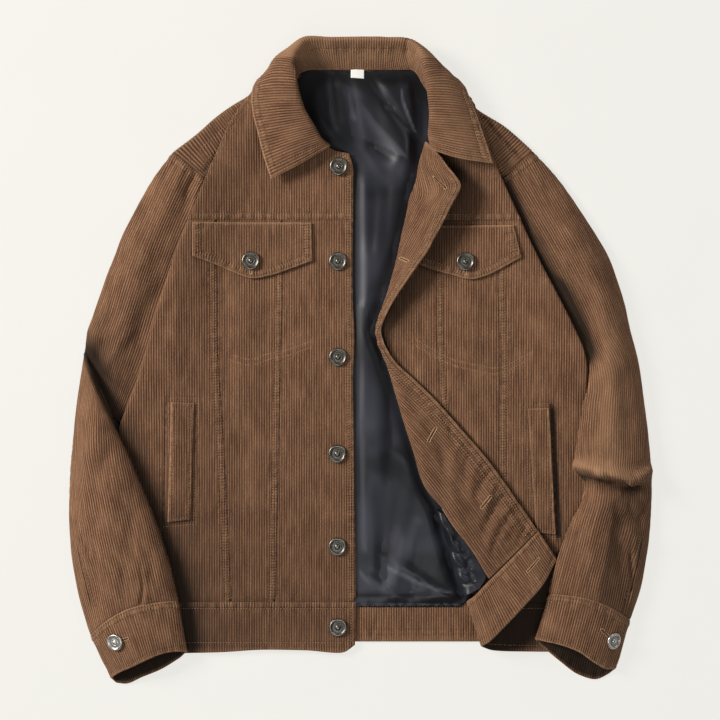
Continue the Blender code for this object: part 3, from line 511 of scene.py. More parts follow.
def shell(name, face, ring, wall, marks=(), step=PITCH / 4, rows=7.0, pile=PILE, edge=-0.25, both=False,
          mid=False, seed=1, wavy=0.3, cover=corduroy, inner=None,
          on_table=False, inner_step=6.0, threads=True, loose_by=0.0, inner_painted_shade=0.0,
          painted_light=FRONT_PAINTED_SHADE):
    """A closed sheet of cloth over a face: pile and work on its outer side, a turned edge."""
    marks = [(kind, np.asarray(line, float)) for kind, line in marks]
    turn = min(0.8 * wall, EDGE_ROUND)
    steps = np.linspace(0, 1, 5)[:-1, None, None]
    close = (ring * (1 - steps) + np.roll(ring, -1, axis=0) * steps).reshape(-1, 2)
    tree_of_edge = kdtree.KDTree(len(close))
    for i, p in enumerate(close):
        tree_of_edge.insert((*p, 0), i)
    tree_of_edge.balance()

    def from_edge(points):
        return np.array([tree_of_edge.find((*p, 0))[2] for p in points])

    # Points of the cloth: two rows round the turned edge, a lattice on the wales, and columns
    # along each line of work.
    rims = np.concatenate([set_in(ring, turn * 0.25), set_in(ring, turn)])
    loose = in_rows(ring, step, rows)
    extra = []
    for kind, line in marks:
        spread = WORK_COLUMNS * WORK[kind][1]
        long = float(np.hypot(*np.diff(line, axis=0).T).sum())
        d = line[-1] - line[0]
        gap = np.clip(step * long / max(abs(d[0]), 1e-6), step, 4.5)
        at = evenly(line, max(int(long / gap), 2))
        extra += [beside(at, away) for away in spread]
    if extra:
        loose = np.concatenate([loose] + extra)
    loose = loose[inside(loose, ring)]
    rims = rims[inside(rims, ring)]
    rims = rims[from_edge(rims) > turn * 0.2]
    loose = np.concatenate([loose[from_edge(loose) > turn * 1.1], rims])
    at, source, faces = filled(ring, loose)
    border = (source >= 0) & (source < len(ring))
    away = from_edge(at)
    away[border] = 0

    def lift(points, off_edge):
        # Round wales with narrow grooves, uneven along their length and flat at the very edge.
        wale = np.cos(points[:, 0] * 2 * math.pi / PITCH)
        tall = 1 + 0.35 * waviness(points * (1.0, 0.12), seed + 5, 9, 4)
        worked_high, wear_and_painted_shade = worked(points, marks, seed)
        fade = smooth(off_edge / 2.0)
        high = pile * (wale + 0.35 * (1 - wale ** 2)) * tall * fade + worked_high
        high += wavy * waviness(points, seed, 95, 24) * smooth(off_edge / 12.0)
        # The edge itself is rubbed bright or, below zero, lies in the dark of the seam.
        wear_and_painted_shade = wear_and_painted_shade + edge * np.exp(-(off_edge / (1.7 if edge > 0 else 1.3)) ** 2)
        return high, np.clip(wear_and_painted_shade, -1, 1)

    def rounded(off_edge):
        s = np.clip(1 - off_edge / turn, 0, 1)
        return wall / 2 * (1 - np.sqrt(np.maximum(1 - s * s, 0)))

    def solid(points, off_edge, inward=False):
        base = face(points)
        n = normals(face, points)
        high, wear_and_painted_shade = lift(points, off_edge)
        half = wall / 2 if mid else 0.0
        if inward:
            depth = wall - rounded(off_edge) + loose_by * smooth(off_edge / 9.0)
            if both:
                depth = depth + high * smooth(off_edge / turn)
            out = base + n * (half - depth)[:, None]
        else:
            out = base + n * (half + high * smooth(off_edge / turn) - rounded(off_edge))[:, None]
        if on_table:
            out[:, 2] = np.maximum(out[:, 2], 0.0)
        return out, n, wear_and_painted_shade

    outer, up, outer_wear_and_painted_light = solid(at, away)
    # Painted shade and painted highlights from the table, on cloth that faces up.
    outer_wear_and_painted_light = np.clip(outer_wear_and_painted_light - painted_light_at(outer[:, :2], painted_light) * (up[:, 2] > 0), -1, 1)
    if both:
        at_in, faces_in, border_in, source_in, away_in = at, faces, border, source, away
    else:
        (x0, y0), (x1, y1) = ring.min(0), ring.max(0)
        coarse = lattice_over(x0, x1, inner_step, y0, y1, inner_step)
        coarse = coarse[inside(coarse, ring)]
        coarse = np.concatenate([coarse[from_edge(coarse) > turn * 1.6], rims])
        at_in, source_in, faces_in = filled(ring, coarse)
        border_in = (source_in >= 0) & (source_in < len(ring))
        away_in = from_edge(at_in)
        away_in[border_in] = 0
    under, _, inner_wear_and_painted_light = solid(at_in, away_in, inward=True)
    # Painted shade can darken the whole inner side.
    inner_wear_and_painted_light = np.clip(inner_wear_and_painted_light - inner_painted_shade, -1, 1)

    # One mesh: the inner side shares the ring's points with the outer side.
    where = {int(s): i for i, s in enumerate(source) if 0 <= s < len(ring)}
    index = np.empty(len(at_in), int)
    index[~border_in] = len(at) + np.arange((~border_in).sum())
    for i in np.nonzero(border_in)[0]:
        index[i] = where[int(source_in[i])]
    points = np.concatenate([outer, under[~border_in]])
    faces_all = np.concatenate([faces, index[faces_in][:, ::-1]])
    cut = np.concatenate([at[faces].reshape(-1, 2), at_in[faces_in][:, ::-1].reshape(-1, 2)])
    used = np.zeros(len(points), bool)
    used[faces_all.ravel()] = True
    shift = np.cumsum(used) - 1
    mesh = triangle_mesh(name + "_cloth", (points[used] - ORIGIN) * MM, shift[faces_all])
    uv = mesh.uv_layers.new(name="cut")
    uv.data.foreach_set("uv", (cut * MM).ravel())
    kept = [("wear_and_painted_light", outer_wear_and_painted_light, inner_wear_and_painted_light)]
    kept += zip(("run", "gather"), gathered(at, marks), gathered(at_in, marks))
    for label, one, other in kept:
        keep_at_points(mesh, label, np.concatenate([one, other[~border_in]])[used])
    mesh.materials.append(cover)
    if inner is not None:
        mesh.materials.append(inner)
        which = np.zeros(len(faces_all), np.int32)
        which[len(faces):] = 1
        mesh.polygons.foreach_set("material_index", which)
    mesh.validate()
    mesh.shade_smooth()
    piece = placed(name + "_cloth", mesh, name)

    if threads:
        for kind, line in marks:
            if kind in ("stitch", "line"):
                sew(solid, from_edge, ring, line)
    return solid


def sew(solid, from_edge, ring, line):
    """Stitches along a line of a cloth, kept as their ends and normals."""
    long = float(np.hypot(*np.diff(line, axis=0).T).sum())
    n = max(int(long / STITCH), 1)
    fine = evenly(line, 2 * n)
    middle = fine[1::2]
    d = fine[2::2] - fine[:-1:2]
    d /= np.maximum(np.hypot(*d.T), 1e-9)[:, None]
    ok = inside(middle, ring)
    if not ok.any():
        return
    middle, d = middle[ok], d[ok]
    ok = from_edge(middle) > 1.5
    middle, d = middle[ok], d[ok]
    if not len(middle):
        return
    far = np.full(len(middle), WELL_IN)
    a, n_a, _ = solid(middle - d * STITCH_SEEN / 2, far)
    b, _, _ = solid(middle + d * STITCH_SEEN / 2, far)
    THREADS.append((a, b, n_a))


def flat_face(height):
    """A face over the plan, raised to a height."""
    def face(points):
        return np.column_stack([points[:, 0], points[:, 1], height(points[:, 0], points[:, 1])])
    return face


def mirrored(points):
    """Points of the plan as the back is drawn, from outside."""
    return np.asarray(points, float) * (-1, 1)


# Armhole and side of the back panel, left and right.
BACK_LEFT = [
    (-174.5, 149.6), (-190, 97), (-205.5, 46), (-222.5, -4), (-236, -44), (-251, -70), (-260, -90),
    (-253, -115), (-241, -165), (-230, -254),
]
BACK_RIGHT = [
    (158, 149.6), (177.5, 100), (202.5, 55), (231, 18), (250, 0), (251, -24), (246, -60), (244, -100),
    (243, -150), (228, -254),
]


def lying(points):
    """The underside of the back, flat on the table; the cut is drawn from outside."""
    return np.column_stack([-points[:, 0], points[:, 1], np.zeros(len(points))])


def between_sides(first, second, gap):
    """The ring between two sides of a cut that run the same way."""
    return closed([first, [first[-1], second[-1]], second[::-1], [second[0], first[0]]], gap)


ring = between_sides(mirrored(evenly(BACK_LEFT, 60)), mirrored(evenly(BACK_RIGHT, 60)), 2.6)
shell("back_panel", lying, ring, CORD,
      [("stitch", mirrored([(-170, y), (155, y)])) for y in (147, 142)],
      rows=20.0, on_table=True, wavy=0.12, seed=11)

# ---------------------------------------------------------------- back yoke
# The yoke is cut from the same corduroy. It lies under the shoulders, turns over the shoulder
# line and is sewn to the front yokes on the upper side; at the neck it is sewn into the collar.


def past_ends(v, p, at):
    """A place on a net's lines, carried on past its first and last line."""
    v = v + np.minimum(p - at[0], 0) / (at[1] - at[0])
    return v + np.maximum(p - at[-1], 0) / (at[-1] - at[-2])


def on_net(dense, i, j, a, b):
    """A net's point at column i and row j, and shares a and b further on."""
    return ((1 - b) * ((1 - a) * dense[j, i] + a * dense[j, i + 1])
            + b * ((1 - a) * dense[j + 1, i] + a * dense[j + 1, i + 1]))


def strip_face(dense):
    """A face over a net of points: p runs along its columns' mean distance, q down its rows."""
    rows, cols = dense.shape[:2]
    step_q = np.linalg.norm(np.diff(dense, axis=0), axis=2).mean(1)
    step_p = np.linalg.norm(np.diff(dense, axis=1), axis=2).mean(0)
    q_at = np.concatenate([[0.0], np.cumsum(step_q + 1e-6)])
    p_at = np.concatenate([[0.0], np.cumsum(step_p + 1e-6)])

    def face(points):
        p, q = points[:, 0], points[:, 1]
        u = past_ends(np.interp(p, p_at, np.arange(cols)), p, p_at)
        v = past_ends(np.interp(q, q_at, np.arange(rows)), q, q_at)
        i = np.clip(np.floor(u).astype(int), 0, cols - 2)
        j = np.clip(np.floor(v).astype(int), 0, rows - 2)
        return on_net(dense, i, j, (u - i)[:, None], (v - j)[:, None])

    return face, p_at, q_at


def through(sections, along):
    """Sections with equal counts of points, joined by smooth curves: a dense net."""
    rows = np.asarray(sections, float)
    t = places(np.linalg.norm(np.diff(rows, axis=0), axis=2).mean(1))
    flat = curve(rows.reshape(len(rows), -1), t, np.linspace(0, 1, along + 1))
    return flat.reshape(along + 1, rows.shape[1], 3)


def joined(parts, counts):
    """One section out of parts that are each read evenly."""
    out = [evenly(part, n) for part, n in zip(parts, counts)]
    return np.concatenate([out[0]] + [o[1:] for o in out[1:]])


# x at the back seam; x, y on the way; x, y at the shoulder line; x, y at the end; height on top.
YOKE_LEFT = [
    (-159, -154, 197, -178, 247.5, -154, 214, 7.6),
    (-142, -142, 206, -159, 264.5, -139, 237, 7.6),
    (-118, -122, 214, -138, 279.5, -120, 257, 7.4),
    (-92, -100, 221, -114, 293, -100, 273, 7.0),
    (-74, -80, 227, -92, 304, -85, 290, 6.0),
]
YOKE_RIGHT = [
    (74, 80, 224, 92, 298, 85, 284, 6.0),
    (90, 95, 218, 112, 286, 98, 268, 7.0),
    (106, 110, 211, 132, 271, 117, 250, 7.4),
    (124, 123, 204, 155, 257, 130, 232, 7.6),
    (141, 136, 197, 172, 243, 141, 214, 7.6),
]
SHOULDER_TURN = 3.4     # reach of the turn over the shoulder line
SEAM_GAP = 0.3
YOKE_COUNTS = (30, 12, 14, 16)


def yoke_column(bx, mx, my, sx, sy, ex, ey, top):
    """From the back seam along the table, over the shoulder line and onto the front."""
    d = np.array([sx - ex, sy - ey], float)
    d /= np.linalg.norm(d)
    line_at = np.array([sx, sy])
    low = line_at - d * SHOULDER_TURN
    return joined([[(bx, 150, 0), (mx, my, 0)], [(mx, my, 0), (*low, 0)],
                   [(*low, 0), (*line_at, top * 0.5), (*low, top)],
                   [(*low, top), (ex, ey, top + 0.2)]], YOKE_COUNTS)


def armhole_column(inner, outer, tin, crown, tout, corner, waist):
    """The yoke's end: beside the sleeve's first station, over the shoulder and back."""
    a = np.array(inner, float)
    b = np.array(outer, float)
    width = np.linalg.norm(b - a)
    up = np.array([a[1] - b[1], b[0] - a[0]]) / width
    up *= (0.5 + SEAM_GAP) * (1 if up[1] > 0 else -1)
    low = a + (b - a) * (1 - SHOULDER_TURN / width) + up
    return joined([[(*corner, 0), (*waist, 0), (*(a + up), 0)], [(*(a + up), 0), (*low, 0)],
                   [(*low, 0), (*(b + up), tout * 0.5), (*low, tout)],
                   [(*low, tout), (*((a + b) / 2 + up), crown), (*(a + (b - a) * 0.1 + up), tin)]],
                  YOKE_COUNTS)


columns = [armhole_column((-166, 196), (-204, 227.5), 7.2, 8.6, 8.0, (-173.6, 150), (-167.6, 173))]
columns += [yoke_column(*c) for c in YOKE_LEFT]
for x in (-56, 0, 56):
    columns.append(joined([[(x, 150, 0), (x, 215, 0)], [(x, 215, 0), (x, 313, 0)],
                           [(x, 313, 0), (x, 315, 0.15), (x, 316.4, 0.6)],
                           [(x, 316.4, 0.6), (x, 317.6, 2.4)]], YOKE_COUNTS))
columns += [yoke_column(*c) for c in YOKE_RIGHT]
columns += [armhole_column((150, 196), (188, 228), 7.2, 8.6, 8.0, (157.4, 150), (149.6, 173))]
net_of_yoke = through(columns, 96).transpose(1, 0, 2)[:, ::-1]
yoke_face, p_at, q_at = strip_face(net_of_yoke)
turn_from, turn_to = q_at[42] - 3, q_at[56] + 3
wide, deep = p_at[-1], q_at[-1]
YOKE_ROWS = [(0, turn_from, 16.0), (turn_from, turn_to, 1.3), (turn_to, deep, 4.0)]


def frame_of(wide, deep, margin=0.0):
    """The ring of a rectangular cut."""
    p, q = wide - margin, deep - margin
    corners = [(margin, margin), (p, margin), (p, q), (margin, q)]
    return closed(list(zip(corners, corners[1:] + corners[:1])), 2.2)


def level(q, p0, p1):
    """A line across a cut."""
    return [(p0, q), (p1, q)]


def plumb(p, q0, q1):
    """A line down a cut."""
    return [(p, q0), (p, q1)]


def cut_of(shown, lattice, place):
    """The place in a cut that shows at a plan point, found on a lattice; the upper one of two."""
    return lattice[np.argmin(np.hypot(*(shown[:, :2] - place).T) - 0.05 * shown[:, 2])]


# The seam to the front yoke, over each shoulder.
SHOULDER_SEAMS = [[(-181, 213), (-165, 230), (-146, 248), (-128, 270)],
                  [(166, 212), (152, 229), (139, 246), (128, 262)]]
lattice = lattice_over(0, wide, 1.0, turn_to, deep, 0.7)
shown = yoke_face(lattice)
shoulder_marks = []
for line in SHOULDER_SEAMS:
    seam = evenly([cut_of(shown, lattice, p) for p in line], 12)
    shoulder_marks += [("ridge", seam), ("stitch", beside(seam, 3.0)), ("stitch", beside(seam, -3.0)),
                       ("seam", beside(seam, -5.0))]

shell("back_yoke", yoke_face, frame_of(wide, deep), CORD,
      [("stitch", level(3.5, 2, wide - 2)), ("stitch", level(9.0, 2, wide - 2))] + shoulder_marks,
      rows=YOKE_ROWS, on_table=True, wavy=0.15, seed=12)

# ---------------------------------------------------------------- hem band of the back
# A strip of corduroy folded double along its lower edge, sewn to the back panel and the lining,
# with a row of stitches along each long edge. Its inner side shows below the lining.

BAND = 2.8              # wall of the folded band

band_ends = [mirrored(evenly(end, 12)) for end in ([(-229.6, -254.4), (-226, -303)],
                                                   [(227.6, -254.4), (224, -303)])]
ring = between_sides(*band_ends, 2.4)
shell("hem_band_back", lying, ring, BAND,
      [("stitch", mirrored([(-222, y), (221, y)])) for y in (-290.5, -296.0)], rows=9.0, both=True,
      on_table=True, wavy=0.15, seed=13, edge=0.35)

# ---------------------------------------------------------------- lining of the back
# Black woven satin, cut a little loose and sewn in along the neck, the sides and the hem band,
# so it lies in a few soft folds.

# Satin lining, woven and calendered: smooth black with a broad soft gleam on its folds, and its sheen
# also painted: light and dark patches at random, painted sheen on folds and painted shade in hollows.
satin, tree, shader = material("black_satin_woven")
cut_at = add(tree, "UVMap", uv_map="cut").outputs["UV"]
weave = noise(tree, at=stretched(tree, cut_at, 900.0, 300.0))
# Painted sheen: light and dark patches of the satin, placed at random.
painted_sheen_patches = noise(tree, 13.0, 1.0, at=cut_at, Distortion=0.7)
tone = mixed(tree, ranged(tree, painted_sheen_patches, 0.4, 0.66), "#121318", "#30313A")
wear_and_painted_light = told(tree, "wear_and_painted_light")
# Painted sheen: lighter where the value is above zero.
bright = mixed(tree, ranged(tree, wear_and_painted_light, 0.0, 1.0, 0.0, 0.9), tone, "#6C6D78")
# Painted shade: near black where the value is below zero.
dark = mixed(tree, ranged(tree, wear_and_painted_light, 0.0, -1.0, 0.0, 0.95), bright, "#07080C")
dressed(tree, shader, dark, (weave, 0.25, 0.0001), Roughness=0.42, Specular_IOR_Level=0.35,
        Sheen_Weight=0.08, Sheen_Roughness=0.45, Sheen_Tint=linear("#AEB6CE"))

LINING = 1.0            # wall of the lining
# Painted shade in the satin's hollows and, below zero, painted sheen on its folds.
SATIN_PAINTED_SHADE_AND_SHEEN = [
    (16, 0.95, [(-8, -250), (112, -250)]), (4, 0.9, [(-8, -255), (-7, 215)]),
    (17, 0.9, [(14, 40), (20, 20), (36, -20), (46, -50), (56, -80), (70, -120), (84, -165)]),
    (17, 0.9, [(-34, 230), (-44, 243), (-56, 262), (-66, 284), (-66, 312)]),
    (13, 0.6, [(-66, 314), (66, 314)]), (12, 0.95, [(2, 309), (30, 277), (60, 244)]),
    (13, 0.8, [(-22, 306), (-10, 250)]), (9, 0.9, [(12, 238), (36, 226)]),
    (12, 0.6, [(22, 60), (40, -150), (22, -240)]), (10, 0.7, [(66, 296), (68, 250)]),
    (14, 0.5, [(-58, 300), (-34, 262)]), (9, 0.7, [(-12, 311), (38, 311)]),
    (5, -0.75, [(-30, 312), (-32, 290), (-30, 264)]), (3.2, -1.0, [(43, 311), (48, 281), (60, 252)]),
    (9, -0.4, [(-3, 297), (16, 262), (44, 230)]), (3, -0.7, [(60, 298), (63, 284)]),
    (6, -0.45, [(-12, 299), (-6, 268)]), (12, -0.3, [(72, -160), (54, -200), (34, -238)]),
    (3, -0.5, [(20, -216), (64, -238), (100, -250)]), (4, -0.4, [(2, -228), (16, -244)]),
    (5, -0.3, [(4, 190), (6, 60), (2, -60), (6, -200)]), (40, 0.4, [(-66, 316), (66, 316)]),
    (22, 0.45, [(-44, 228), (-66, 284), (-66, 312)]),
]
# Broad swells, then folds and dimples where the satin is slack.
LINING_FOLDS = [
    (34, 290, 44, 222, 20, 5.5), (46, 222, 26, 120, 22, 5.0), (24, 120, 12, 30, 16, 3.5),
    (16, 10, 22, -120, 15, 3.2), (78, -150, 84, -258, 24, 5.5), (46, -190, 40, -256, 13, 2.5),
    (-31, 311, -25, 258, 6, 2.4), (-14, 306, -3, 246, 7, -2.2), (12, 309, 32, 277, 5, -2.4),
    (32, 277, 62, 240, 5, -2.6), (50, 303, 62, 256, 5, 2.4), (17, 233, 33, 222, 6, -2.4),
    (6, 232, 22, 206, 6, 1.4), (-48, 288, -36, 250, 7, 1.2), (4, 196, 8, 60, 7, 1.6),
    (30, 190, 22, 60, 5, -1.3), (16, 180, 12, 120, 4, -0.8), (2, 60, 4, -60, 6, 1.2),
    (34, -40, 24, -230, 8, -1.8), (8, -90, 14, -220, 7, 1.5), (52, -140, 34, -254, 6, 1.6),
    (66, -176, 56, -254, 5, -1.4), (26, -210, 76, -240, 5, 1.3), (50, -222, 100, -258, 4, 1.4),
    (92, -218, 62, -256, 4, -1.2), (10, -232, 42, -252, 4, 1.1), (62, -240, 104, -252, 3.5, 1.0),
    (48, -60, 56, -130, 6, 1.2), (38, -96, 62, -112, 5, 0.8),
]
# Where the open front turns back.
TURN_LINE = [
    (63, 215), (60, 198), (53, 178), (46, 145), (40, 117), (33, 90), (25, 65), (18, 47), (16, 34),
    (19, 21), (26, 3), (33, -18), (41, -45), (50, -75), (60, -105), (72, -139), (82, -160), (93, -195),
    (105, -235), (112, -252),
]
turn_ys = np.array([p[1] for p in TURN_LINE])[::-1]
turn_xs = np.array([p[0] for p in TURN_LINE])[::-1]
neck_l = [(-136, 232), (-112, 254), (-88, 280), (-73, 301), (-67, 314)]
neck_r = [(67, 314), (75, 299), (88, 277), (106, 250), (124, 230)]


def relief(x, y, folds):
    """Height at plan points of soft ridges and troughs: from x, y to x, y, half width, height."""
    z = np.zeros(len(x))
    for x0, y0, x1, y1, half, rise in folds:
        dx, dy = x1 - x0, y1 - y0
        s = np.clip(((x - x0) * dx + (y - y0) * dy) / (dx * dx + dy * dy), 0, 1)
        away = np.hypot(x - x0 - s * dx, y - y0 - s * dy) / half
        z += rise * np.exp(-away * away)
    return z


def satin_height(x, y):
    """The satin rises between the two fronts, and over the hem band's upper edge."""
    left = np.interp(y, [215, 240, 262, 284], [-9, -36, -54, -62])
    shown = smooth((x - left) / 16) * smooth((np.interp(y, turn_ys, turn_xs) - 1 - x) / 12)
    shown = shown * smooth((313 - y) / 14) * smooth((y + 264) / 12)
    slack = 0.8 * waviness(np.column_stack([x, y]) * (1.0, 0.35), 31, 60, 18, 7)
    slack = slack * smooth((y + 256) / 30)
    risen = shown * np.maximum(1.3 + 0.7 * relief(x, y, LINING_FOLDS), 0)
    return 3.4 + slack + risen + 1.1 * smooth((-248 - y) / 6)


left_side = evenly([(-136, 232), (-162, 150), (-200, 20), (-218, -100), (-214, -255.5)], 60)
right_side = evenly([(124, 230), (150, 150), (196, 20), (216, -100), (212, -255.5)], 60)
hem = [(-214, -255.5), (-12, -255.5), (-7, -265), (110, -265), (117, -255.5), (212, -255.5)]
top = evenly(neck_l + [(0, 315.5)] + neck_r, 50)
ring = closed([left_side, hem, right_side[::-1], top[::-1]], 5.0)
shell("back_lining", flat_face(satin_height), ring, LINING, [("stitch", [(-5, -261.0), (112, -261.0)])],
      step=3.0, rows=3.2, pile=0.0, edge=0.0, wavy=0.0, cover=satin,
      inner_step=14.0, threads=False, painted_light=SATIN_PAINTED_SHADE_AND_SHEEN)

# ---------------------------------------------------------------- neck label
# A small woven label, plain white. It is caught in the neck seam and hangs over the lining,
# just below the collar.

# Woven polyester: bright, close weft threads.
label_weave, tree, shader = material("woven_polyester_label")
cut_at = add(tree, "UVMap", uv_map="cut").outputs["UV"]
weft = noise(tree, at=stretched(tree, cut_at, 300.0, 2200.0))
dressed(tree, shader, mixed(tree, weft, "#D9D8D2", "#F4F3EE"), (weft, 0.4, 0.0001), Roughness=0.6)

LABEL = 0.9             # wall of the label, folded double
LABEL_CORNERS = [(-10.5, 318), (-10.5, 308.6), (4, 307.6), (4, 318)]


def label_height(x, y):
    """The label bows a little between its two caught ends."""
    return 4.7 + 0.25 * np.sin((x + 10.5) / 14.5 * math.pi)


ring = closed(list(zip(LABEL_CORNERS, LABEL_CORNERS[1:] + LABEL_CORNERS[:1])), 0.8)
shell("neck_label", flat_face(label_height), ring, LABEL, [], step=0.5, rows=0.6, pile=0.0, edge=0.0,
      wavy=0.0, cover=label_weave, inner_step=3.0)

# ---------------------------------------------------------------- the straight front
# Three panels under a yoke, sewn with felled seams and two rows of stitches, a placket of two
# layers along the edge and a doubled hem band. At the side the cloth turns under to its seam.

FRONT_TOP = 6.2         # upper face of a front where it lies flat
FOLD_RISE = 9.4         # how far a front climbs over the sleeve's inner edge
CLIMB_WIDTH = 62.0      # width over which it climbs
SHOULDER_RISE = 4.6     # how far it climbs towards the shoulder line
FOLD_RADIUS = 2.4       # turn of the front's side fold
TAIL = 7.0              # cloth past the turn

# Side fold of each front: x, y from the shoulder down to the hem.
LEFT_FOLD = [
    (-104, 300), (-118, 291), (-130, 277), (-141, 260), (-153, 232), (-168, 198), (-184, 160),
    (-197, 128), (-213, 80), (-222, 50), (-238, -8), (-254, -52), (-261, -74), (-254, -98), (-246, -122),
    (-240, -155), (-233, -220), (-226, -258), (-222, -313),
]
RIGHT_FOLD = [
    (106, 300), (121, 283), (128, 266), (134, 250), (142, 225), (150, 205), (168, 165), (190, 117),
    (212, 75), (232, 35), (241, 14), (243.6, 3), (245, -25), (244, -50), (243.5, -100), (245, -128),
    (243, -150), (236, -182), (227, -258), (224, -313),
]
FOLD_GAIN = 1.5         # turns the heights of the fronts' and sleeves' folds into millimetres
# Large soft folds of the fronts, then finer ones.
FRONT_FOLDS = [
    (-148, 95, -143, -60, 9, -1.2), (-125, 60, -118, -40, 16, 1.3), (-66, 70, -60, -120, 18, 0.9),
    (-200, -60, -190, -230, 14, 1.0), (-45, 60, -20, 45, 8, 0.7), (120, 60, 112, -40, 18, 1.2),
    (184, 60, 196, -40, 16, 1.0), (140, -20, 185, -35, 10, 0.7), (-52, 140, -46, 20, 7, 0.5),
    (-98, 85, -104, -30, 8, -0.5), (-172, 90, -176, 0, 9, 0.6), (-38, -60, -44, -190, 8, -0.4),
    (-110, -60, -116, -200, 10, 0.5), (-128, -90, -124, -230, 8, -0.4), (-62, -180, -74, -250, 8, 0.5),
    (-206, 60, -222, 0, 7, -0.6), (-176, 30, -150, 10, 6, 0.5), (-150, -5, -190, -25, 6, 0.5),
    (-40, 205, -46, 165, 8, 0.5), (-70, 240, -96, 190, 10, 0.6), (-130, 230, -146, 175, 8, -0.5),
    (-104, 215, -112, 165, 8, 0.4), (-88, -20, -60, -34, 6, 0.4), (70, 60, 62, -20, 9, 0.5),
    (102, -40, 112, -160, 8, -0.5), (132, 40, 134, -60, 7, -0.5), (170, 40, 176, -30, 8, -0.6),
    (205, 20, 222, -30, 7, 0.6), (128, -80, 140, -150, 7, 0.5), (120, 200, 132, 165, 8, 0.5),
    (160, 130, 176, 90, 7, 0.5), (196, -60, 222, -100, 6, 0.5), (214, -120, 206, -200, 7, -0.5),
    (168, -190, 176, -250, 7, 0.5),
]


def read_by_y(points):
    """A side fold as x by y, finely read."""
    fine = evenly(points, 240)[::-1]
    return fine[:, 1], fine[:, 0]


FOLDS = {-1: read_by_y(LEFT_FOLD), 1: read_by_y(RIGHT_FOLD)}


def fold_x(side, y):
    """Where the side fold lies at a height of the plan; side is -1 or 1."""
    return np.interp(y, *FOLDS[side])


def front_height(x, y):
    """Upper face of both fronts: flat in the middle, climbing over each sleeve."""
    left = x < 20
    edge_x = np.where(left, fold_x(-1, y), fold_x(1, y))
    from_fold = np.abs(edge_x - x)
    climb = FOLD_RISE * smooth(1 - from_fold / CLIMB_WIDTH)
    climb = climb * (1 - 0.8 * smooth((np.where(left, -60, 10) - y) / 50.0))
    shoulder = SHOULDER_RISE * smooth((y - 175) / 90.0) * smooth(from_fold / 30.0)
    return FRONT_TOP + climb + shoulder + FOLD_GAIN * relief(x, y, FRONT_FOLDS)


def rolled_face(side):
    """A front over the plan whose cloth turns under at its side fold."""
    def face(points):
        x, y = points[:, 0], points[:, 1]
        past = np.maximum(side * (x - fold_x(side, y)) + FOLD_RADIUS, 0)
        slope = (fold_x(side, y + 1) - fold_x(side, y - 1)) / 2
        c = 1 / np.sqrt(1 + slope ** 2)
        shift = side * past * slope * c
        foot_y = y + shift * c
        foot_x = np.where(past > 0, fold_x(side, foot_y) - side * FOLD_RADIUS, x)
        foot_y = np.where(past > 0, foot_y, y)
        gone = past * c
        angle = np.minimum(gone / FOLD_RADIUS, math.pi)
        out = FOLD_RADIUS * np.sin(angle) - np.maximum(gone - FOLD_RADIUS * math.pi, 0)
        drop = FOLD_RADIUS * (1 - np.cos(angle))
        return np.column_stack([foot_x + side * c * out, foot_y - side * slope * c * out,
                                front_height(foot_x, foot_y) - drop])
    return face


def past_fold(side, y0, y1):
    """The cut's edge under the side fold, between two heights."""
    y = np.linspace(y0, y1, max(int(abs(y1 - y0) / 4), 2))
    slope = (fold_x(side, y + 1) - fold_x(side, y - 1)) / 2
    reach = (FOLD_RADIUS * math.pi + TAIL) * np.sqrt(1 + slope ** 2)
    return np.column_stack([fold_x(side, y) + side * (reach - FOLD_RADIUS), y])


def moved(line, dx, dy=0.0):
    """A line moved over the plan."""
    return np.asarray(line, float) + (dx, dy)


LAP = 0.35              # how far neighbouring panels run past their seam
YOKE_Y = 154.0
BAND_Y = -259.5
LEFT_EDGE = [
    (-8, 154), (-8.5, 110), (-8, 60), (-6.2, 25), (-8, -10), (-7.5, -60), (-6.5, -120), (-5.5, -200),
    (-5, -259.5),
]
LEFT_SEAM_1 = [(-86, 154), (-84, 85), (-86, 0), (-88, -90), (-90, -180), (-92, -259.5)]
LEFT_SEAM_2 = [
    (-157, 154), (-155, 90), (-153.5, 0), (-150, -50), (-146, -120), (-142, -200), (-139, -259.5),
]
edge_l = evenly(LEFT_EDGE, 60)
seam_1 = evenly(LEFT_SEAM_1, 60)
seam_2 = evenly(LEFT_SEAM_2, 60)


def felled_pair(outer, inner, side):
    """The two felled seams of a front: raised bands between rows of stitches, towards one side."""
    work = [("fell", outer, 4.5), ("stitch", outer, 2.0), ("stitch", outer, 7.0),
            ("stitch", inner, 1.8), ("fell", inner, 4.0), ("stitch", inner, 6.3)]
    return [(kind, beside(seam, side * away)) for kind, seam, away in work]


def pocket_lines(points):
    """The pocket bag's two rows of stitches, seen through the front as faint worn lines."""
    return [("line", evenly(moved(points, 0, dy), 30)) for dy in (0.0, 6.2)]


def yoke_seam(x0, x1, *levels):
    """The seam below a front's yoke: a raised band between two rows of stitches."""
    return [(kind, level(y, x0, x1)) for kind, y in zip(("stitch", "fell", "stitch"), levels)]


left_marks = felled_pair(seam_2, seam_1, -1)
left_marks += [("stitch", moved(edge_l, -2.6)), ("stitch", moved(edge_l, -7.6)),
               ("worn", moved(edge_l, -0.6)), ("ridge", moved(edge_l, -4.6))]
left_marks += pocket_lines([(-140, 2), (-118, -3), (-100, 3), (-80, 7), (-55, 16)])
# Welt pocket's own stitches on the panel, and short bars at its ends.
left_marks += [("stitch", [(-176.5, -40), (-180.5, -174)]), ("stitch", [(-210, -38), (-178, -39)]),
               ("stitch", [(-214, -178), (-180, -175)]), ("seam", [(-210.5, -44), (-214, -172)])]

